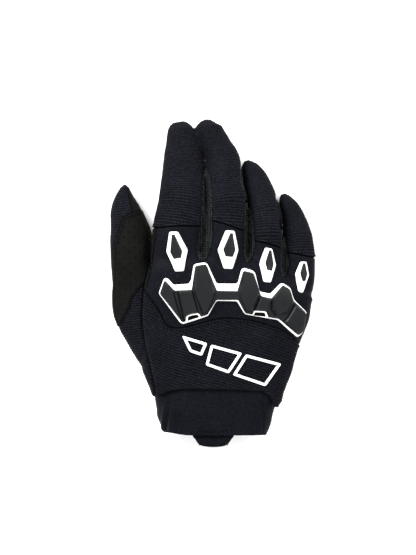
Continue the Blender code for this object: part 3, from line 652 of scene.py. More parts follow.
seams = [
    # line, upper side, which side is raised (1 left, -1 right, 0 none), rise, groove depth
    ("arc", True, -1, 0.45 * mm, 0.55 * mm),
    ("side", True, -1, 0.35 * mm, 0.6 * mm),
    ("patch", True, 1, 0.6 * mm, 0.35 * mm),
    *[("strip_" + name, True, 0, 0, 0.75 * mm) for name in fingers[:3]],
    *[("slot_" + name, True, 0, 0, 1.5 * mm) for name in fingers[:3]],
    ("tip", True, 0, 0, 0.4 * mm),
    ("edge", True, 0, 0, 0.35 * mm),
    *[("cross_" + name, True, 1, 0.8 * mm, 1.0 * mm) for name in fingers],
    *[("front_" + name, False, 1, 0.3 * mm, 0.4 * mm) for name in fingers],
    ("thumbFront", False, 0, 0, 0.5 * mm),
]


def bell(value, width):
    return math.exp(-(value / width) ** 2)


def smoothCloth(shape, verts, times):
    for _ in range(times):
        bmesh.ops.smooth_vert(
            shape, verts=verts, factor=0.5, use_axis_x=True, use_axis_y=True, use_axis_z=True)


def ribPitch(panel):
    return cloth["handRib"] if panel == "back_panel" else cloth["fingerRib"]


# cuts the seams into the form, presses them in and labels the panels
def sewForm(form):
    shape = bmesh.new()
    shape.from_mesh(form.data)
    smoothCloth(shape, shape.verts, 4)
    # the cloth is drawn tight between the finger roots
    low, high = zones["websY"]
    webs = [vert for vert in shape.verts if low < vert.co.y < high and vert.co.x > zones["websX"]
            and lineDistance(lines["arc"], vert.co.x, vert.co.y)[0] > 0]
    smoothCloth(shape, webs, 8)
    # the wrist end is open
    end = hand["wristY"] - hand["hemDrop"] + 0.9 * mm
    bmesh.ops.bisect_plane(shape, geom=shape.verts[:] + shape.edges[:] + shape.faces[:], dist=1e-6,
                           plane_co=(0, end, 0), plane_no=(0, 1, 0), clear_inner=True)
    support = BVHTree.FromBMesh(shape)

    cutLevels(shape, shape.faces[:], lambda p: p.z - sideHeight(p.x, p.y),
              [-cloth["sideCut"], 0, cloth["sideCut"]])
    cuts = [share * cloth["grooveWidth"] for share in cloth["grooveCuts"]]
    for line, above, *_ in seams:
        cutAlong(shape, lines[line], cuts, above)
    cutAlong(shape, lines["hem"], [0], True)
    corner = []
    for face in shape.faces:
        c = face.calc_center_median()
        if inCorners(c.x, c.y, zones["cornerRoom"]) and c.z < sideHeight(c.x, c.y):
            corner.append(face)
    cutLevels(shape, corner, wristCorner, [0])
    print("seams cut", len(shape.faces), "faces")

    for face in shape.faces:
        face.material_index = panelNames.index(faceLabel(face.calc_center_median()))
    gone = [face for face in shape.faces if face.material_index == 0]
    bmesh.ops.delete(shape, geom=gone, context="FACES")
    # a cut at every crest and every hollow of the ribs
    for panel, value in ribValue.items():
        index, half = panelNames.index(panel), ribPitch(panel) / 2
        faces = [face for face in shape.faces if face.material_index == index]
        heights = [value(vert.co) for face in faces for vert in face.verts]
        first, last = int(min(heights) / half) - 1, int(max(heights) / half) + 1
        cutLevels(shape, faces, value, [k * half for k in range(first, last + 1)])
    print("ribs cut", len(shape.faces), "faces")
    bmesh.ops.triangulate(shape, faces=[face for face in shape.faces if len(face.verts) > 4])
    pressSeams(shape)
    return shape, support


# ribs are flat at the tips and where the knit is stretched over the bend
def ribFade(panel, point):
    if panel in ("back_panel", "thumb_back"):
        return cloth["handShare"]
    before = (cloth["fadeEnd"] - shareAlong(panel.split("_")[-1], point.y)) / cloth["fadeLength"]
    return cloth["tipShare"] + (1 - cloth["tipShare"]) * max(0, min(1, before))


# the painted shade in a pressed seam and the painted highlight on the crest beside it, where the ribs end
# beside a seam, and where the cloth lies calm on the ground
press = {"sideShade": 0.6, "sideFade": 1.2 * mm, "below": 0.3 * mm, "endFade": 0.4 * mm, "toneWidth": 1.3,
         "crestHighlight": 0.55, "crestAt": 1.1 * mm, "crestWidth": 0.5 * mm, "seamFade": 1.1 * mm,
         "hemFrom": -55 * mm, "hemFade": 1.8 * mm, "calm": 0.35, "calmBelow": 6 * mm, "lowest": 0.05 * mm}


def pressSeams(shape):
    shape.normal_update()
    boxes = [box2d(lines[line], cloth["seamReach"]) for line, *_ in seams]
    width = cloth["grooveWidth"]
    moves = {}
    ribLayer = shape.verts.layers.float.new("rib")
    seamShadeLayer = shape.verts.layers.float.new("seam")
    ribbed = {panelNames.index(panel): panel for panel in ribValue}
    for vert in shape.verts:
        p = vert.co
        # edge fades the ribs out beside a seam, and shadeAndHighlight paints shade into the seam itself and a
        # highlight on its raised crest
        push, edge, shadeAndHighlight = 0, 1, 0
        away = p.z - sideHeight(p.x, p.y)
        if abs(away) < cloth["sideReach"]:
            push -= cloth["sideGroove"] * bell(away, width)
            # painted shade along the side seam
            shadeAndHighlight -= press["sideShade"] * bell(away, width)
            edge = abs(away) / press["sideFade"]
        for (line, above, raised, rise, depth), (x0, x1, y0, y1) in zip(seams, boxes):
            if not (x0 < p.x < x1 and y0 < p.y < y1 and (away > -press["below"]) == above):
                continue
            signed, inside, gap = lineDistance(lines[line], p.x, p.y)
            if gap > cloth["seamReach"]:
                continue
            end = 1 if inside else bell(gap - abs(signed), press["endFade"])
            push -= depth * bell(gap, width) * end
            # painted shade in the seam's groove
            shadeAndHighlight -= bell(gap, press["toneWidth"] * width) * end
            if raised and signed * raised > 0:
                push += rise * bell(gap, cloth["hemReach"]) * min(1, gap / width) * end
                # painted highlight on the crest beside a raised seam
                shadeAndHighlight += press["crestHighlight"] * bell(gap - press["crestAt"], press["crestWidth"]) * end
            edge = min(edge, gap / press["seamFade"])
        # the seam layer keeps the painted shade and highlight for the cloth's colour
        vert[seamShadeLayer] = min(max(shadeAndHighlight, -1), 1)
        if p.y < press["hemFrom"]:
            edge = min(edge, lineDistance(lines["hem"], p.x, p.y)[2] / press["hemFade"])
        around = [face.material_index for face in vert.link_faces]
        panel = next((ribbed[index] for index in around if index in ribbed), None)
        if panel:
            wave = math.cos(2 * math.pi * ribValue[panel](p) / ribPitch(panel))
            vert[ribLayer] = wave * ribFade(panel, p) * min(edge, 1)
            push += cloth["ribRise"] * vert[ribLayer]
        calm = press["calm"] if p.z < press["calmBelow"] else 1
        for scale, height, shift in cloth["wear"]:
            push += calm * height * noise.noise(p * scale + Vector(shift))
        moves[vert] = vert.normal * push
    for vert, move in moves.items():
        vert.co += move
        vert.co.z = max(vert.co.z, press["lowest"])
    shape.normal_update()


skin, support = sewForm(form)
skinTree = BVHTree.FromBMesh(skin)
skin.to_mesh(form.data)
skin.free()


# one object for each sewn panel
def splitPanels(form):
    for name in panelNames:
        form.data.materials.append(bpy.data.materials.new("cut " + name))
    for other in bpy.context.selected_objects:
        other.select_set(False)
    bpy.context.view_layer.objects.active = form
    form.select_set(True)
    bpy.ops.object.mode_set(mode="EDIT")
    bpy.ops.mesh.separate(type="MATERIAL")
    bpy.ops.object.mode_set(mode="OBJECT")
    panels = {}
    for thing in list(bpy.context.selected_objects):
        if not thing.data.polygons:
            bpy.data.objects.remove(thing)
            continue
        name = thing.data.materials[thing.data.polygons[0].material_index].name.removeprefix("cut ")
        panels[name] = thing
        thing.name = thing.data.name = name + "_cloth"
        thing.data.materials.clear()
        wall = thing.modifiers.new("wall", "SOLIDIFY")
        wall.thickness = cloth["wall"]
        wall.offset = -1
        applyModifiers(thing)
        thing.data.shade_smooth()
        thing.data.set_sharp_from_angle(angle=math.radians(cloth["creaseAngle"]))
    return panels


panels = splitPanels(form)
print("panels", {name: len(thing.data.polygons) for name, thing in panels.items()})


# moulded armour

# signed distance to a closed outline, positive inside
def outlineField(outline):
    ends = np.array([(p[0], p[1]) for p in outline])
    starts = np.roll(ends, 1, axis=0)
    steps = ends - starts
    sizes = (steps ** 2).sum(1)

    def field(x, y):
        offset = np.array((x, y)) - starts
        share = np.clip((offset * steps).sum(1) / sizes, 0, 1)
        away = offset - steps * share[:, None]
        best = math.sqrt((away ** 2).sum(1).min())
        crossing = (starts[:, 1] > y) != (ends[:, 1] > y)
        flips = 0
        if crossing.any():
            s, e = starts[crossing], ends[crossing]
            flips = int((x < (e[:, 0] - s[:, 0]) * (y - s[:, 1]) / (e[:, 1] - s[:, 1]) + s[:, 0]).sum())
        return best if flips % 2 else -best

    return field


# an outline in millimetres with its corners rounded
def roundCorners(outline, radius, steps=3):
    points = [Vector(point) * mm for point in outline]
    rounded = []
    for i, point in enumerate(points):
        before, after = points[i - 1], points[(i + 1) % len(points)]
        into, out = (before - point), (after - point)
        reach = min(radius, into.length * 0.45, out.length * 0.45)
        a, b = point + into.normalized() * reach, point + out.normalized() * reach
        for k in range(steps + 1):
            t = k / steps
            rounded.append(a * (1 - t) ** 2 + point * 2 * t * (1 - t) + b * t * t)
    return rounded


def ease(value):
    value = min(max(value, 0), 1)
    return value * value * (3 - 2 * value)


def neighbours(heights, fill):
    padded = np.pad(heights, 1, mode="edge") if fill is None else np.pad(heights, 1, constant_values=fill)
    return np.stack([padded[1:-1, :-2], padded[1:-1, 2:], padded[:-2, 1:-1], padded[2:, 1:-1]])


# heights of the smooth glove that the armour and the print lie on, in a grid of one millimetre
seatGrid = {"start": (-52 * mm, -80 * mm), "columns": 126, "rows": 132, "above": 0.09, "lowest": 9 * mm,
            "passes": 60, "slopeReach": 1.5 * mm}


def readHeights():
    heights = np.full((seatGrid["rows"], seatGrid["columns"]), np.nan)
    x0, y0 = seatGrid["start"]
    for j, i in np.ndindex(heights.shape):
        hit = support.ray_cast(Vector((x0 + i * mm, y0 + j * mm, seatGrid["above"])), Vector((0, 0, -1)))[0]
        if hit is not None and hit.z > seatGrid["lowest"]:
            heights[j, i] = hit.z
    # a gap takes the height of what is next to it
    for _ in range(seatGrid["passes"]):
        empty = np.isnan(heights)
        around = neighbours(heights, np.nan)
        count = (~np.isnan(around)).sum(0)
        heights = np.where(empty & (count > 0), np.nansum(around, axis=0) / np.maximum(count, 1), heights)
    return heights


seatHeights = readHeights()


def makeSeat(blur):
    heights = seatHeights
    for _ in range(blur):
        heights = (heights * 2 + neighbours(heights, None).sum(0)) / 6
    return heights


def seatHeight(seat, x, y):
    x0, y0 = seatGrid["start"]
    u = min(max((x - x0) / mm, 0), seat.shape[1] - 1.001)
    v = min(max((y - y0) / mm, 0), seat.shape[0] - 1.001)
    i, j = int(u), int(v)
    s, t = u - i, v - j
    low = seat[j, i] * (1 - s) + seat[j, i + 1] * s
    high = seat[j + 1, i] * (1 - s) + seat[j + 1, i + 1] * s
    return float(low * (1 - t) + high * t)


def seatPoint(seat, x, y, lift):
    reach = seatGrid["slopeReach"]
    slopeX = (seatHeight(seat, x + reach, y) - seatHeight(seat, x - reach, y)) / (2 * reach)
    slopeY = (seatHeight(seat, x, y + reach) - seatHeight(seat, x, y - reach)) / (2 * reach)
    return Vector((x, y, seatHeight(seat, x, y))) + Vector((-slopeX, -slopeY, 1)).normalized() * lift


# a closed moulding: a fine grid trimmed to an outline, given its heights and a foot
def moulded(name, seat, inside, outline, cell, edges, heightAt, foot, extraCuts=()):
    x0, x1, y0, y1 = box2d(outline, 1.2 * mm)
    shape = bmesh.new()
    bmesh.ops.create_grid(shape, x_segments=int((x1 - x0) / cell), y_segments=int((y1 - y0) / cell), size=1)
    bmesh.ops.scale(shape, verts=shape.verts, vec=((x1 - x0) / 2, (y1 - y0) / 2, 1))
    bmesh.ops.translate(shape, verts=shape.verts, vec=((x0 + x1) / 2, (y0 + y1) / 2, 0))
    cutLevels(shape, shape.faces[:], lambda p: inside(p.x, p.y), edges)
    gone = [face for face in shape.faces if inside(*face.calc_center_median().xy) < 0]
    bmesh.ops.delete(shape, geom=gone, context="FACES")
    for value, levels in extraCuts:
        cutLevels(shape, shape.faces[:], lambda p: value(p.x, p.y), levels)
    bmesh.ops.triangulate(shape, faces=[face for face in shape.faces if len(face.verts) > 4])
    grown = bmesh.ops.extrude_face_region(shape, geom=shape.faces[:])["geom"]
    tops = {vert for vert in grown if isinstance(vert, bmesh.types.BMVert)}
    for vert in shape.verts:
        x, y = vert.co.x, vert.co.y
        vert.co = seatPoint(seat, x, y, heightAt(x, y) if vert in tops else foot)
    bmesh.ops.recalc_face_normals(shape, faces=shape.faces)
    thing = newObject(name, shape)
    thing.data.shade_smooth()
    thing.data.set_sharp_from_angle(angle=math.radians(24))
    return thing


guard = {
    "shift": (-0.2, 0), "foot": -0.5 * mm, "corner": 1.1 * mm,
    # the white base: its height, its rounded edge, and how low it runs under the shell and beside it
    "rimCell": 0.6 * mm, "rimHeight": 1.9 * mm, "rimDrop": 0.8 * mm, "rimRound": 0.7 * mm,
    "underShell": 1.2 * mm, "ledge": 0.25 * mm, "ledgeFrom": 1.6 * mm, "ventDepth": 1.5 * mm,
    "ventWall": 0.15 * mm,
    # the black shell, a little larger than its outline
    "cell": 0.5 * mm, "shell": 2.5 * mm, "shellEdge": 1.7 * mm, "shellRound": 0.9 * mm, "overlap": 0.32 * mm,
    "flank": 1.3 * mm, "grooveDepth": 0.9 * mm, "grooveWidth": 0.5 * mm,
    "outline": [
        (-31.1, 2.3), (-29.9, 3.4), (-28.3, 2.7), (-24.8, -1.2), (-15.1, -0.5), (-13.5, 2.0), (-12.0, 10.9),
        (-10.8, 12.0), (-4.9, 12.9), (-3.0, 12.0), (2.9, -0.4), (15.7, -0.5), (16.9, 0.8), (18.9, 8.6),
        (20.4, 9.6), (26.3, 7.8), (27.8, 6.2), (30.6, -5.5), (37.6, -7.0), (44.2, -0.4), (45.8, -0.4),
        (50.4, -3.5), (52.8, -10.9), (60.6, -18.7), (58.6, -31.6), (55.1, -34.8), (54.0, -34.3),
        (42.3, -23.8), (22.0, -20.3), (20.8, -19.5), (16.1, -11.7), (3.3, -11.4), (2.1, -12.5),
        (-2.6, -21.1), (-9.2, -23.4), (-18.6, -26.4), (-20.5, -25.6), (-34.2, -6.6)],
    "black": [
        (-30.2, 1.5), (-24.2, -5.0), (-12.9, -4.6), (-10.7, 10.3), (-4.0, 11.2), (2.9, -5.2), (16.4, -5.5),
        (20.2, 7.4), (26.4, 5.9), (31.3, -8.6), (38.1, -10.3), (45.4, -1.9), (49.7, -4.6), (51.9, -11.5),
        (59.5, -19.1), (57.8, -31.0), (55.0, -33.2), (42.8, -22.8), (21.6, -19.2), (16.9, -10.6),
        (2.7, -10.4), (-3.3, -20.2), (-19.0, -25.1), (-33.0, -6.6)],
    # the raised faces, with their height in millimetres
    "ridges": [
        (1.5, [(-29.7, 0.2), (-25.6, -5.6), (-20.2, -22.6), (-21.0, -23.4), (-32.2, -6.8)]),
        (1.8, [(-10.2, 9.9), (-4.4, 10.6), (1.0, -6.6), (-3.0, -17.2), (-5.2, -18.6), (-10.2, -7.2)]),
        (1.8, [(20.8, 6.6), (25.8, 5.3), (29.4, -7.6), (25.2, -17.2), (22.6, -17.6), (18.4, -7.8)]),
        (1.6, [(45.4, -2.8), (49.0, -5.2), (51.0, -11.8), (47.2, -18.4), (41.8, -19.4), (39.4, -15.0),
               (40.0, -9.0)]),
        (1.3, [(53.6, -15.0), (58.6, -19.6), (57.0, -30.2), (55.0, -32.0), (47.4, -25.0), (50.2, -20.6)]),
        (0.9, [(-20.6, -5.8), (-14.0, -5.6), (-9.4, -20.6), (-17.0, -22.6)]),
        (0.8, [(31.6, -10.2), (37.0, -11.2), (35.6, -17.0), (29.2, -17.0)]),
    ],
    "grooves": [[(-24.6, -5.6), (-19.2, -24.4)], [(-22.0, -5.6), (-18.0, -24.0)],
                [(-12.7, -5.4), (-8.0, -21.6)], [(-11.2, -6.6), (-6.0, -19.6)], [(30.4, -9.6), (26.6, -18.6)],
                [(38.4, -11.4), (38.0, -17.0), (41.0, -21.4)], [(52.6, -14.0), (48.6, -21.4), (46.0, -24.6)]],
    "vents": [[(-17.0, -25.7), (-16.7, -21.8), (-15.9, -20.8), (-13.0, -19.8), (-9.1, -19.3), (-8.1, -20.2),
               (-6.9, -22.7)],
              [(25.6, -21.6), (27.0, -18.2), (27.5, -17.8), (34.1, -18.2), (34.8, -18.7), (36.4, -22.8)]],
    "ventHoles": [[(-15.8, -24.5), (-15.4, -21.7), (-12.9, -20.8), (-9.5, -20.3), (-8.2, -22.1)],
                  [(26.7, -20.9), (27.9, -18.8), (33.9, -19.1), (34.9, -21.9)]],
}

fingerGuard = {
    "height": 2.2 * mm, "foot": -0.4 * mm, "cell": 0.5 * mm, "corner": 0.9 * mm, "slope": 0.09,
    "pocket": 1.2 * mm, "pocketWall": 0.12 * mm,
    "pad": 1.55 * mm, "padFoot": 0.6 * mm, "padCell": 0.4 * mm, "padCorner": 0.4 * mm, "crown": 0.5 * mm,
    # outlines in millimetres: the white body, then the black pad in it
    "index": ([(-27.4, 33.2), (-22.1, 33.3), (-16.0, 21.5), (-18.2, 7.8), (-23.8, 7.4), (-29.3, 20.3)],
              [(-25.9, 31.3), (-24.2, 31.5), (-19.4, 20.7), (-20.1, 15.7), (-24.6, 15.1), (-26.9, 20.0)]),
    "middle": ([(8.8, 34.1), (14.3, 33.8), (16.6, 21.5), (13.3, 9.1), (7.5, 9.4), (3.9, 21.5)],
               [(11.7, 32.4), (13.2, 32.2), (14.8, 21.6), (13.3, 16.9), (8.8, 17.2), (7.3, 21.8)]),
    "ring": ([(34.5, 23.0), (38.7, 22.2), (41.0, 11.7), (38.0, 0.3), (33.3, 0.8), (30.6, 12.1)],
             [(37.0, 21.3), (38.3, 21.1), (39.6, 12.1), (38.4, 7.3), (35.1, 8.0), (34.4, 12.9)]),
    "little": ([(57.3, 13.8), (61.0, 13.7), (62.4, 5.2), (58.6, -6.5), (55.9, -5.5), (54.0, 5.5)],
               [(58.9, 12.8), (60.2, 12.6), (61.4, 5.8), (60.4, 1.4), (58.3, 0.8), (57.2, 6.4)]),
}

pieces = {}
ventShades = []


def shifted(outline):
    return [(x + guard["shift"][0], y + guard["shift"][1]) for x, y in outline]


def grooveValue(line, x, y):
    signed, inside, gap = lineDistance(line, x, y)
    return signed if inside and gap < 1.6 * mm else None


def makeKnuckleGuard():
    seat = makeSeat(14)
    outline = roundCorners(shifted(guard["outline"]), guard["corner"])
    black = roundCorners(shifted(guard["black"]), 0.9 * mm)
    outer, inner = outlineField(outline), outlineField(black)
    vents = [outlineField(roundCorners(shifted(vent), 0.3 * mm)) for vent in guard["vents"]]
    holeOutlines = [roundCorners(shifted(hole), guard["ventWall"]) for hole in guard["ventHoles"]]
    holes = [outlineField(hole) for hole in holeOutlines]
    ridges = [(height * mm, outlineField(inMillimetres(shifted(ridge)))) for height, ridge in guard["ridges"]]
    grooves = [inMillimetres(shifted(line)) for line in guard["grooves"]]

    def shellInside(x, y):
        return min(inner(x, y) + guard["overlap"], *(-vent(x, y) for vent in vents))

    def rimHeight(x, y):
        height = guard["rimHeight"] - guard["rimDrop"] * (1 - ease(outer(x, y) / guard["rimRound"]))
        covered = shellInside(x, y)
        if covered > 0:
            return min(height, guard["underShell"])
        for hole in holes:
            height -= guard["ventDepth"] * ease((hole(x, y) + guard["ventWall"]) / (2 * guard["ventWall"]))
        return height - guard["ledge"] * ease((-covered - guard["ledgeFrom"]) / (1.5 * mm))

    def shellHeight(x, y):
        height = guard["shell"]
        for rise, ridge in ridges:
            height = max(height, guard["shell"] + rise * min(max(1 + ridge(x, y) / guard["flank"], 0), 1))
        for line in grooves:
            height -= guard["grooveDepth"] * max(0, 1 - lineDistance(line, x, y)[2] / guard["grooveWidth"])
        return height - (height - guard["shellEdge"]) * (1 - min(shellInside(x, y) / guard["shellRound"], 1))

    wall = guard["ventWall"]
    rimCuts = [(shellInside, [-0.05 * mm])] + [(hole, [-wall, wall]) for hole in holes]
    pieces["knuckle_guard_edge"] = [moulded(
        "knuckle_guard_rim", seat, outer, outline, guard["rimCell"], [0, 0.2 * mm, 0.45 * mm, 0.75 * mm],
        rimHeight, guard["foot"], rimCuts)]
    width = guard["grooveWidth"]
    shellCuts = [(ridge, [-guard["flank"], 0]) for _, ridge in ridges]
    shellCuts += [(lambda x, y, line=line: grooveValue(line, x, y), [-width, 0, width]) for line in grooves]
    pieces["knuckle_guard"] = [moulded(
        "knuckle_guard_shell", seat, shellInside, black, guard["cell"], [0, 0.25 * mm, guard["shellRound"]],
        shellHeight, 1.0 * mm, shellCuts)]
    # a near-black sheet in each vent hole is painted shade in the hole
    for k, hole in enumerate(holes):
        ventShades.append(moulded(
            "guard_vent_shade_" + str(k), seat, lambda x, y: hole(x, y) + 0.1 * mm, holeOutlines[k],
            guard["cell"], [0], lambda x, y: 0.8 * mm, -0.2 * mm))


def makeFingerGuards():
    seat = makeSeat(6)
    wall = fingerGuard["pocketWall"]
    for name in fingers:
        bodyOutline = roundCorners(shifted(fingerGuard[name][0]), fingerGuard["corner"])
        padOutline = roundCorners(shifted(fingerGuard[name][1]), fingerGuard["padCorner"])
        outer, inner = outlineField(bodyOutline), outlineField(padOutline)
        middleX = sum(p.x for p in bodyOutline) / len(bodyOutline)
        low = min(p.y for p in padOutline) - 0.3 * mm

        # below the pad the guard slopes away in its own facet
        def bodyHeight(x, y):
            height = fingerGuard["height"] - 1.0 * mm * (1 - ease(outer(x, y) / (0.9 * mm)))
            height -= fingerGuard["slope"] * max(low - y, 0)
            return height - fingerGuard["pocket"] * ease(inner(x, y) / (0.25 * mm) + 0.5)

        def padHeight(x, y):
            crown = fingerGuard["crown"] * (1 - min(abs(x - middleX) / (4 * mm), 1))
            return fingerGuard["pad"] + crown * ease(inner(x, y) / mm)

        pieces["finger_guard_" + name] = [moulded(
            "finger_guard_body_" + name, seat, outer, bodyOutline, fingerGuard["cell"],
            [0, 0.2 * mm, 0.5 * mm, 0.9 * mm], bodyHeight, fingerGuard["foot"], [(inner, [-wall, wall])])]
        pieces["finger_guard_insert_" + name] = [moulded(
            "finger_guard_pad_" + name, seat, lambda x, y: inner(x, y) - wall, padOutline,
            fingerGuard["padCell"], [0, 0.3 * mm], padHeight, fingerGuard["padFoot"])]


backPrint = {
    # three slanted frames, in millimetres, drawn as raised white lines
    "line": 1.7 * mm, "lift": 0.42 * mm,
    "frames": [
        [(-19.5, -34.0), (-3.0, -39.0), (-6.6, -47.2), (-14.4, -44.6)],
        [(-0.6, -39.8), (19.6, -45.4), (11.0, -58.6), (-4.2, -53.2)],
        [(22.0, -46.2), (45.0, -52.4), (34.6, -67.0), (13.4, -59.6)],
    ],
}


def makeBackPrint():
    seat = makeSeat(2)
    width = backPrint["line"]
    prints = []
    for k, corners in enumerate(backPrint["frames"]):
        outline = roundCorners(shifted(corners), 1.2 * mm)
        edge = outlineField(outline)

        def band(x, y):
            away = edge(x, y)
            return min(away, width - away)

        prints.append(moulded(
            "back_print_" + str(k), seat, band, outline, 0.7 * mm, [0, 0.2 * mm],
            lambda x, y: backPrint["lift"] * (0.6 + 0.4 * ease(band(x, y) / (0.25 * mm))), -0.5 * mm))
    return prints


makeKnuckleGuard()
makeFingerGuards()
prints = makeBackPrint()
print("armour and print made")


# the cuff and its pull tab

cuff = {
    "length": 38 * mm, "wall": 2.2 * mm, "clear": 0.5 * mm, "start": 0.34, "rings": 64, "sides": 168,
    # along, centre, wide, low, high
    "rows": [
        (0.00, 0.000, 1.000, 0.00, 1.00),
        (0.34, 0.000, 1.000, 0.00, 1.00),
        (0.56, -0.011, 0.945, 0.00, 0.99),
        (0.70, -0.015, 0.925, -0.06, 0.97),
        (0.87, -0.013, 0.880, -0.07, 0.94),
        (1.00, -0.015, 0.832, -0.07, 0.91),
    ],
    # soft folds: across at the wrist in mm, width in mm, depth in mm
    "folds": [(-31.5, 1.0, 1.05), (-29.2, 0.9, -1.19), (-26, 1.3, 1.12), (-22.6, 0.9, -0.91),
              (-19.6, 1.3, 0.77), (-15.5, 1.6, -0.56)],
    "foldLean": 0.10, "foldMiddle": 85, "wave": 0.8 * mm, "waveScale": (60, 22, 40), "grain": 0.18 * mm,
    # the thumb's side is shorter by the drop
    "drop": 1.9 * mm, "seamX": 33 * mm, "seamDepth": 0.6 * mm, "hem": 4.5 * mm, "hemDepth": 0.175 * mm,
    "roundness": 2.5, "sewnIn": 1.6 * mm, "ground": 2.1 * mm, "turns": 6,
}


def cuffRing(along, inset):
    wrist = hand["sections"][0]
    centre, wide, low, high = smoothRow(cuff["rows"], along)
    sewn = cuff["sewnIn"] + cuff["clear"]
    room = wrist[2] * hand["width"] / 2 - sewn
    bottom = wrist[3] * hand["depth"] + sewn
    height = wrist[4] * hand["depth"] - sewn - bottom
    middle = bottom + (low + high) / 2 * height
    # inside the glove the cuff rests on the palm, and outside it on the ground
    ground = cuff["ground"] * max(0, 1 + low * 15) + inset
    x = hand["middleX"] + (wrist[1] + centre) * hand["width"]
    y = hand["wristY"] + cuff["length"] * (cuff["start"] - along)
    halves = wide * room - inset, (high - low) / 2 * height - inset
    return [Vector((x + side, y, max(middle + up, ground)))
            for side, up in roundSection(*halves, cuff["roundness"], cuff["sides"])]


def makeCuff():
    shape = bmesh.new()
    count = cuff["rings"]
    outer = [cuffRing(k / count, 0) for k in range(count + 1)]
    # the wall turns over the edge and goes back inside
    rim = cuff["wall"] / 2
    turned = []
    for k in range(1, cuff["turns"]):
        angle = math.pi * k / cuff["turns"]
        ring = cuffRing(1.0, rim * (1 - math.cos(angle)))
        turned.append([point - Vector((0, rim * math.sin(angle) * 0.8, 0)) for point in ring])
    inner = [cuffRing(1.0 - k / count, cuff["wall"]) for k in range(count + 1)]
    loops = addTube(shape, outer + turned + inner, False)
    bmesh.ops.bridge_loops(shape, edges=loops[0] + loops[-1])
    bmesh.ops.recalc_face_normals(shape, faces=shape.faces)
    shape.normal_update()
    end = outer[-1][0].y
    for vert in shape.verts:
        p = vert.co
        # folds show on the back only, below the hem
        top = ease((p.z - 10 * mm) / (10 * mm))
        reach = ease((-72 * mm - p.y) / (14 * mm))
        lean = cuff["foldLean"] * (p.y / mm + cuff["foldMiddle"])
        push = cuff["wave"] * noise.noise(
            Vector([value * scale for value, scale in zip(p, cuff["waveScale"])]))
        for across, width, depth in cuff["folds"]:
            push += depth * mm * bell(p.x / mm - across - lean, width)
        push *= top * reach
        push -= cuff["seamDepth"] * bell(p.x - cuff["seamX"], 0.5 * mm) * top
        push -= cuff["hemDepth"] * bell(p.y - end - cuff["hem"], 0.5 * mm)
        away = vert.normal if p.y > end + 0.1 * mm else Vector((0, 0, 0))
        p.y += cuff["drop"] * ease((-14 * mm - p.x) / (18 * mm)) * ease((-84 * mm - p.y) / (12 * mm))
        vert.co = p + away * (push + cuff["grain"] * noise.noise(p * 160))
    thing = newObject("cuff_cloth", shape)
    thing.data.shade_smooth()
    return thing


cuffEdge = hand["wristY"] + cuff["length"] * (cuff["start"] - 1)
pullTab = {
    "width": 27.6 * mm, "reach": 8.5 * mm, "tuck": 6 * mm, "wall": 1.44 * mm, "edgeRound": 0.4 * mm,
    "across": 40, "lengthwise": 40, "middleX": hand["middleX"] - 0.121 * hand["width"],
    # how much less the corners reach than the middle, and the ribs across it
    "bow": 0.10, "rib": 1.4 * mm, "ribRise": 0.10 * mm,
    # sewn rows: how far out, and half their length
    "rowsSewn": [(1.6 * mm, 11.5 * mm), (6.9 * mm, 8.6 * mm)], "sewnDepth": 0.3 * mm,
    # along, wide, droop
    "rows": [(-1.0, 1.0, 0.0), (0.0, 1.0, 0.0), (0.45, 0.84, 0.04), (0.86, 0.68, 0.12), (1.0, 0.55, 0.16)],
}


# the height of the cuff's lower side over a place
def cuffCeiling(x, y):
    hit = cuffTree.ray_cast(Vector((x, y, 18 * mm)), Vector((0, 0, 1)))[0]
    return hit.z if hit else 26 * mm


def makePullTab():
    shape = bmesh.new()
    bmesh.ops.create_grid(shape, x_segments=pullTab["across"], y_segments=pullTab["lengthwise"], size=1)
    for vert in shape.verts:
        u, v = vert.co.x, (1 - vert.co.y) / 2
        out = v * (pullTab["tuck"] + pullTab["reach"]) - pullTab["tuck"]
        along = out / (pullTab["reach"] if out > 0 else pullTab["tuck"])
        wide, droop = smoothRow(pullTab["rows"], along)
        x = pullTab["middleX"] + u * wide * pullTab["width"] / 2
        y = cuffEdge - out * (1 - pullTab["bow"] * u * u * max(along, 0))
        z = cuffCeiling(x, max(y, cuffEdge + 1.5 * mm)) - 0.35 * mm - droop * pullTab["reach"]
        if out > 0.5 * mm:
            z += pullTab["ribRise"] * math.cos(2 * math.pi * y / pullTab["rib"])
        for row, _ in pullTab["rowsSewn"]:
            z -= pullTab["sewnDepth"] * bell(out - row, 0.35 * mm)
        vert.co = (x, y, z)
    thing = newObject("pull_tab_cloth", shape)
    wall = thing.modifiers.new("wall", "SOLIDIFY")
    wall.thickness = pullTab["wall"]
    wall.offset = -1
    bevel = thing.modifiers.new("edge", "BEVEL")
    bevel.width = pullTab["edgeRound"]
    bevel.segments = 2
    bevel.limit_method = "ANGLE"
    applyModifiers(thing)
    thing.data.shade_smooth()
    return thing


def treeOf(thing):
    shape = bmesh.new()
    shape.from_mesh(thing.data)
    tree = BVHTree.FromBMesh(shape)
    shape.free()
    return tree


pieces["cuff"] = [makeCuff()]
cuffTree = treeOf(pieces["cuff"][0])
pieces["pull_tab"] = [makePullTab()]
print("cuff and pull tab made")


# stitches

stitch = {"length": 1.4 * mm, "pitch": 2.1 * mm, "width": 1.05 * mm, "height": 0.40 * mm, "lift": 0.05 * mm,
          "steepest": 0.12,
          # beside each seam, positive on its left
          "arc": -1.4 * mm, "cross": 1.9 * mm, "patch": 1.3 * mm, "side": 1.2 * mm}


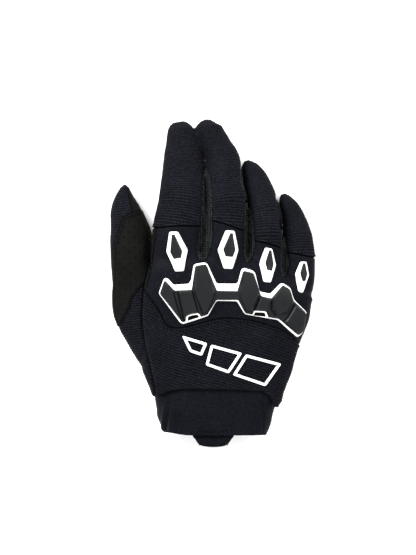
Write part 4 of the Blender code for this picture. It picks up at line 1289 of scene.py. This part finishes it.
# dashes of thread beside a line, laid on the cloth
def sewRow(shape, line, offset, tree, pitch=stitch["pitch"], keep=None):
    side = []
    for i, point in enumerate(line):
        a, b = line[max(i - 1, 0)], line[min(i + 1, len(line) - 1)]
        ahead = (b.xy - a.xy).normalized()
        side.append(Vector((point.x - ahead.y * offset, point.y + ahead.x * offset)))
    carried = pitch / 2
    for a, b in zip(side, side[1:]):
        length = (b - a).length
        while carried < length:
            spot = a.lerp(b, carried / length)
            carried += pitch
            if keep and not keep(spot.x, spot.y):
                continue
            hit, normal, _, _ = tree.ray_cast(Vector((spot.x, spot.y, seatGrid["above"])), Vector((0, 0, -1)))
            if hit is None or normal.z < stitch["steepest"]:
                continue
            flat = (b - a).to_3d()
            ahead = (flat - normal * flat.dot(normal)).normalized()
            across = normal.cross(ahead)
            turn = Matrix((ahead, across, normal)).transposed().to_4x4()
            size = Matrix.Diagonal((stitch["length"] / 2, stitch["width"] / 2, stitch["height"] / 2, 1))
            place = Matrix.Translation(hit + normal * stitch["lift"]) @ turn @ size
            bmesh.ops.create_uvsphere(shape, u_segments=8, v_segments=5, radius=1, matrix=place)
        carried -= length


def sewGlove():
    shape = bmesh.new()
    inArmour = outlineField(roundCorners(shifted(guard["outline"]), guard["corner"]))
    sewRow(shape, lines["arc"], stitch["arc"], skinTree, keep=lambda x, y: inArmour(x, y) < 0)
    for name in fingers:
        sewRow(shape, lines["cross_" + name], stitch["cross"], skinTree)
    sewRow(shape, lines["patch"], stitch["patch"], skinTree, 1.7 * mm)
    sewRow(shape, lines["side"], stitch["side"], skinTree, keep=lambda x, y: y < -4 * mm)
    return newObject("glove_stitches", shape)


def sewCuff():
    shape = bmesh.new()
    x0, tree = pullTab["middleX"], treeOf(pieces["pull_tab"][0])
    for out, half in pullTab["rowsSewn"]:
        y = cuffEdge - out
        sewRow(shape, [Vector((x0 - half, y)), Vector((x0, y - 0.2 * mm)), Vector((x0 + half, y))], 0, tree)
    # one row holds the tab on the cuff
    hemLine = [Vector((x * mm, cuffEdge + 1.3 * mm + 0.012 * mm * x * x)) for x in range(-9, 12, 2)]
    sewRow(shape, hemLine, 0, cuffTree, 2.4 * mm)
    return newObject("cuff_stitches", shape)


gloveStitches, cuffStitches = sewGlove(), sewCuff()
for thing in (gloveStitches, cuffStitches):
    thing.data.shade_smooth()
print("stitches", len(gloveStitches.data.polygons) + len(cuffStitches.data.polygons), "faces")


# materials

finish = {
    # colour, roughness, sheen, gloss, depth of the grain in mm, how much the fibres differ
    "ribbed_knit": ((0.0032, 0.0034, 0.0049), 0.75, 0.006, 0.02, 0.10, 1.1),
    "smooth_stretch": ((0.0023, 0.0026, 0.0042), 0.60, 0.004, 0.03, 0.06, 1.0),
    "suede": ((0.0028, 0.0029, 0.0026), 0.72, 0.005, 0.03, 0.16, 0.8),
    "strip_mesh": ((0.0028, 0.0034, 0.0034), 0.62, 0.003, 0.04, 0.16, 0.5),
    "black_rubber": ((0.0055, 0.0062, 0.0067), 0.40, 0.0, 0.12, 0.03, 0.15),
    "white_rubber": ((0.72, 0.72, 0.71), 0.42, 0.0, 0.30, 0.02, 0.03),
    # the thread is black, and painted darker than the black cloth as the shade of the stitch holes
    "shaded_thread": ((0.0006, 0.0006, 0.0008), 0.55, 0.0, 0.02, 0.04, 0.3),
    # the vent colour is painted shade: a near-black sheet deep in each vent hole
    "vent_shade": ((0.0006, 0.0006, 0.0007), 0.60, 0.0, 0.03, 0.03, 0.2),
    "print": ((0.74, 0.75, 0.76), 0.45, 0.0, 0.25, 0.03, 0.03),
}
# scales of the noises and cells, and how much each counts in the colour: the rib share paints shade in the rib
# hollows, the seam share paints shade in the seams and a highlight on their crests
look = {"fine": 1400, "wide": 55, "speck": 760, "nap": 260, "leather": 500, "openings": 640,
        "wideShare": 0.4, "ribShadeShare": 0.31, "seamShadeShare": 0.5, "white": (0.92, 1.06), "dark": (0.12, 2.3)}
# the patch's holes lie in a turned grid, in shares of its pitch; they are painted near black, as shade in the
# holes
patchHoles = {"pitch": 4.72 * mm, "turn": 43, "first": (-55.9 * mm, -10.5 * mm), "edge": (0.095, 0.125),
              "depth": 0.5 * mm, "colour": (0.0004, 0.0004, 0.0004, 1)}


# a shader node with its settings, its constants and what feeds it
def addNode(tree, kind, constants, fed, **settings):
    node = tree.nodes.new("ShaderNode" + kind)
    for name, value in settings.items():
        setattr(node, name, value)
    for socket, value in constants.items():
        node.inputs[socket].default_value = value
    for socket, source in fed.items():
        tree.links.new(source, node.inputs[socket])
    return node


def newMaterial(name, row):
    colour, rough, sheen, gloss, *_ = row
    material = bpy.data.materials.new(name)
    material.use_nodes = True
    tree = material.node_tree
    shader = tree.nodes["Principled BSDF"]
    shader.inputs["Base Color"].default_value = (*colour, 1)
    shader.inputs["Roughness"].default_value = rough
    shader.inputs["Sheen Weight"].default_value = sheen
    shader.inputs["Sheen Roughness"].default_value = 0.45
    shader.inputs["Specular IOR Level"].default_value = gloss
    return material, tree, shader, addNode(tree, "TexCoord", {}, {}).outputs["Object"]


def addNoise(tree, place, scale, detail):
    return addNode(tree, "TexNoise", {"Scale": scale, "Detail": detail}, {"Vector": place}).outputs["Fac"]


def addAttribute(tree, name):
    return addNode(tree, "Attribute", {}, {}, attribute_name=name).outputs["Fac"]


# value times share, plus the rest
def blend(tree, value, share, rest):
    constants, fed = {1: share}, {0: value}
    (constants if isinstance(rest, float) else fed)[2] = rest
    return addNode(tree, "Math", constants, fed, operation="MULTIPLY_ADD").outputs["Value"]


def addRamp(tree, value, stops):
    node = addNode(tree, "ValToRGB", {}, {"Fac": value})
    ramp = node.color_ramp
    for element, (place, colour) in zip(ramp.elements, (stops[0], stops[-1])):
        element.position, element.color = place, (*colour, 1)
    for place, colour in stops[1:-1]:
        ramp.elements.new(place).color = (*colour, 1)
    return node.outputs["Color"]


def addBump(tree, shader, height, distance, before=None):
    fed = {"Height": height} if before is None else {"Height": height, "Normal": before}
    node = addNode(tree, "Bump", {"Distance": distance, "Strength": 1}, fed)
    tree.links.new(node.outputs["Normal"], shader.inputs["Normal"])
    return node.outputs["Normal"]


def tint(colour, share):
    return tuple(value * share for value in colour)


def makeMaterial(name):
    colour, *_, grain, fibre = finish[name]
    material, tree, shader, place = newMaterial("glove_" + name, finish[name])
    # wide and narrow unevenness together, around a half
    mixed = blend(tree, addNoise(tree, place, look["wide"], 4), look["wideShare"], 0.3 - 0.5 * fibre)
    mixed = blend(tree, addNoise(tree, place, look["speck"], 2), fibre, mixed)
    if name == "ribbed_knit":
        # painted shade in the hollows of the ribs, lighter on their crests
        mixed = blend(tree, addAttribute(tree, "rib"), look["ribShadeShare"], mixed)
    # painted shade in the seams and a painted highlight on their raised crests
    if name in ("ribbed_knit", "smooth_stretch", "suede", "strip_mesh"):
        mixed = blend(tree, addAttribute(tree, "seam"), look["seamShadeShare"], mixed)
    low, high = look["white"] if name in ("white_rubber", "print") else look["dark"]
    base = addRamp(tree, mixed, [(0.08, tint(colour, low)), (0.5, colour), (0.95, tint(colour, high))])
    normal = addBump(tree, shader, addNoise(tree, place, look["fine"], 2), grain * mm)
    if name in ("suede", "smooth_stretch"):
        addBump(tree, shader, addNoise(tree, place, look["nap"], 5), 2.2 * grain * mm, normal)
    if name == "strip_mesh":
        # rows of small openings, painted near black as the shade inside them, and lighter between them
        cells = addNode(tree, "TexVoronoi", {"Scale": look["openings"], "Randomness": 0.25}, {"Vector": place})
        opening = cells.outputs["Distance"]
        addBump(tree, shader, opening, 0.6 * mm, normal)
        base = addRamp(tree, opening, [(0.15, tint(colour, 0.05)), (0.40, colour), (0.70, tint(colour, 3.8))])
    tree.links.new(base, shader.inputs["Base Color"])
    return material


def makePatchLeather():
    colour = finish["suede"][0]
    material, tree, shader, place = newMaterial("glove_patch_leather", finish["suede"])
    angle, (x, y) = math.radians(patchHoles["turn"]), patchHoles["first"]
    start = (y * math.sin(angle) - x * math.cos(angle), -x * math.sin(angle) - y * math.cos(angle), 0)
    turned = addNode(tree, "Mapping", {"Rotation": (0, 0, angle), "Location": start}, {"Vector": place})
    cells = addNode(tree, "TexVoronoi", {"Scale": 1 / patchHoles["pitch"], "Randomness": 0},
                    {"Vector": turned.outputs["Vector"]}, voronoi_dimensions="2D")
    low, high = patchHoles["edge"]
    hole = addNode(tree, "MapRange", {"From Min": low, "From Max": high},
                   {"Value": cells.outputs["Distance"]}).outputs["Result"]
    wide = addNoise(tree, place, look["wide"], 4)
    base = addRamp(tree, wide, [(0.25, tint(colour, 0.6)), (0.75, tint(colour, 1.35))])
    # the holes are painted near black, as the shade in them
    mix = addNode(tree, "Mix", {6: patchHoles["colour"]}, {"Factor": hole, 7: base}, data_type="RGBA")
    tree.links.new(mix.outputs[2], shader.inputs["Base Color"])
    normal = addBump(tree, shader, hole, patchHoles["depth"])
    addBump(tree, shader, addNoise(tree, place, look["leather"], 4), 0.3 * mm, normal)
    return material


materials = {name: makeMaterial(name) for name in finish}
materials["patch"] = makePatchLeather()

slotOf = {"palm": "suede", "thumb_front": "suede", "thumb_patch": "suede", "thumb_back": "ribbed_knit",
          "back_panel": "ribbed_knit", "pull_tab": "ribbed_knit", "knuckle_panel": "smooth_stretch",
          "cuff": "smooth_stretch", "knuckle_guard": "black_rubber", "knuckle_guard_edge": "white_rubber"}
for name in fingers:
    slotOf["finger_back_" + name] = "ribbed_knit"
    slotOf["finger_front_" + name] = "suede"
    slotOf["finger_guard_" + name] = "white_rubber"
    slotOf["finger_guard_insert_" + name] = "black_rubber"
for before, after in fingerPairs:
    slotOf["finger_strip_" + before + "_" + after] = "strip_mesh"


def dress(thing, material):
    thing.data.materials.clear()
    thing.data.materials.append(materials[material])


for node, thing in panels.items():
    pieces[node] = [thing]
for node, things in pieces.items():
    for thing in things:
        dress(thing, "patch" if node == "thumb_patch" else slotOf[node])
        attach(thing, "root")
    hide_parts(node)
extras = [(thing, "print", "white_rubber") for thing in prints]
extras += [(thing, "vent_shade", "black_rubber") for thing in ventShades]
extras += [(gloveStitches, "shaded_thread", "ribbed_knit"), (cuffStitches, "shaded_thread", "smooth_stretch")]
for thing, material, slot in extras:
    dress(thing, material)
    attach(thing, "root")
faceCount = sum(len(thing.data.polygons) for things in pieces.values() for thing in things)
print("pieces dressed", faceCount, "faces")


# floor, light and camera

studio = {
    # metres: the floor's side, the middle of the picture and the camera's height over it
    "floor": 4.0, "middle": (-2.8 * mm, 3.6 * mm), "camera": 6.0325, "lens": 600, "sensor": 36, "white": 0.95,
    # place, size and power of each light
    "lights": {
        "key": ((-0.78, 0.95, 0.90), (0.7, 0.7), 54),
        "fill": ((0.85, 0.6, 0.9), (0.8, 0.8), 17),
        "front": ((0.1, -0.9, 0.9), (0.9, 0.6), 10),
    },
    "aim": (0, 0, 0.02),
}


def makeFloor():
    shape = bmesh.new()
    bmesh.ops.create_grid(shape, x_segments=1, y_segments=1, size=studio["floor"] / 2)
    floor = newObject("studio_floor", shape)
    material = bpy.data.materials.new("studio_white")
    material.use_nodes = True
    shader = material.node_tree.nodes["Principled BSDF"]
    shader.inputs["Base Color"].default_value = (studio["white"], studio["white"], studio["white"], 1)
    shader.inputs["Roughness"].default_value = 0.9
    shader.inputs["Specular IOR Level"].default_value = 0.1
    floor.data.materials.append(material)


def addLight(name, place, size, power):
    lamp = bpy.data.lights.new(name, "AREA")
    lamp.shape = "RECTANGLE"
    lamp.size, lamp.size_y = size
    lamp.energy = power
    thing = bpy.data.objects.new(name, lamp)
    thing.location = place
    thing.rotation_euler = (Vector(studio["aim"]) - Vector(place)).to_track_quat("-Z", "Y").to_euler()
    bpy.context.scene.collection.objects.link(thing)


def makeStudio():
    makeFloor()
    world = bpy.data.worlds.new("studio")
    world.use_nodes = True
    sky = world.node_tree.nodes["Background"]
    sky.inputs["Color"].default_value = (1, 1, 1, 1)
    sky.inputs["Strength"].default_value = studio["white"]
    bpy.context.scene.world = world
    for name, light in studio["lights"].items():
        addLight(name, *light)
    lens = bpy.data.cameras.new("camera")
    lens.lens = studio["lens"]
    lens.sensor_width = studio["sensor"]
    lens.clip_end = 20
    camera = bpy.data.objects.new("camera", lens)
    camera.location = (*studio["middle"], studio["camera"])
    bpy.context.scene.collection.objects.link(camera)
    bpy.context.scene.camera = camera
    bpy.context.scene.view_settings.view_transform = "Standard"


makeStudio()
print("studio made")

bpy.context.view_layer.update()
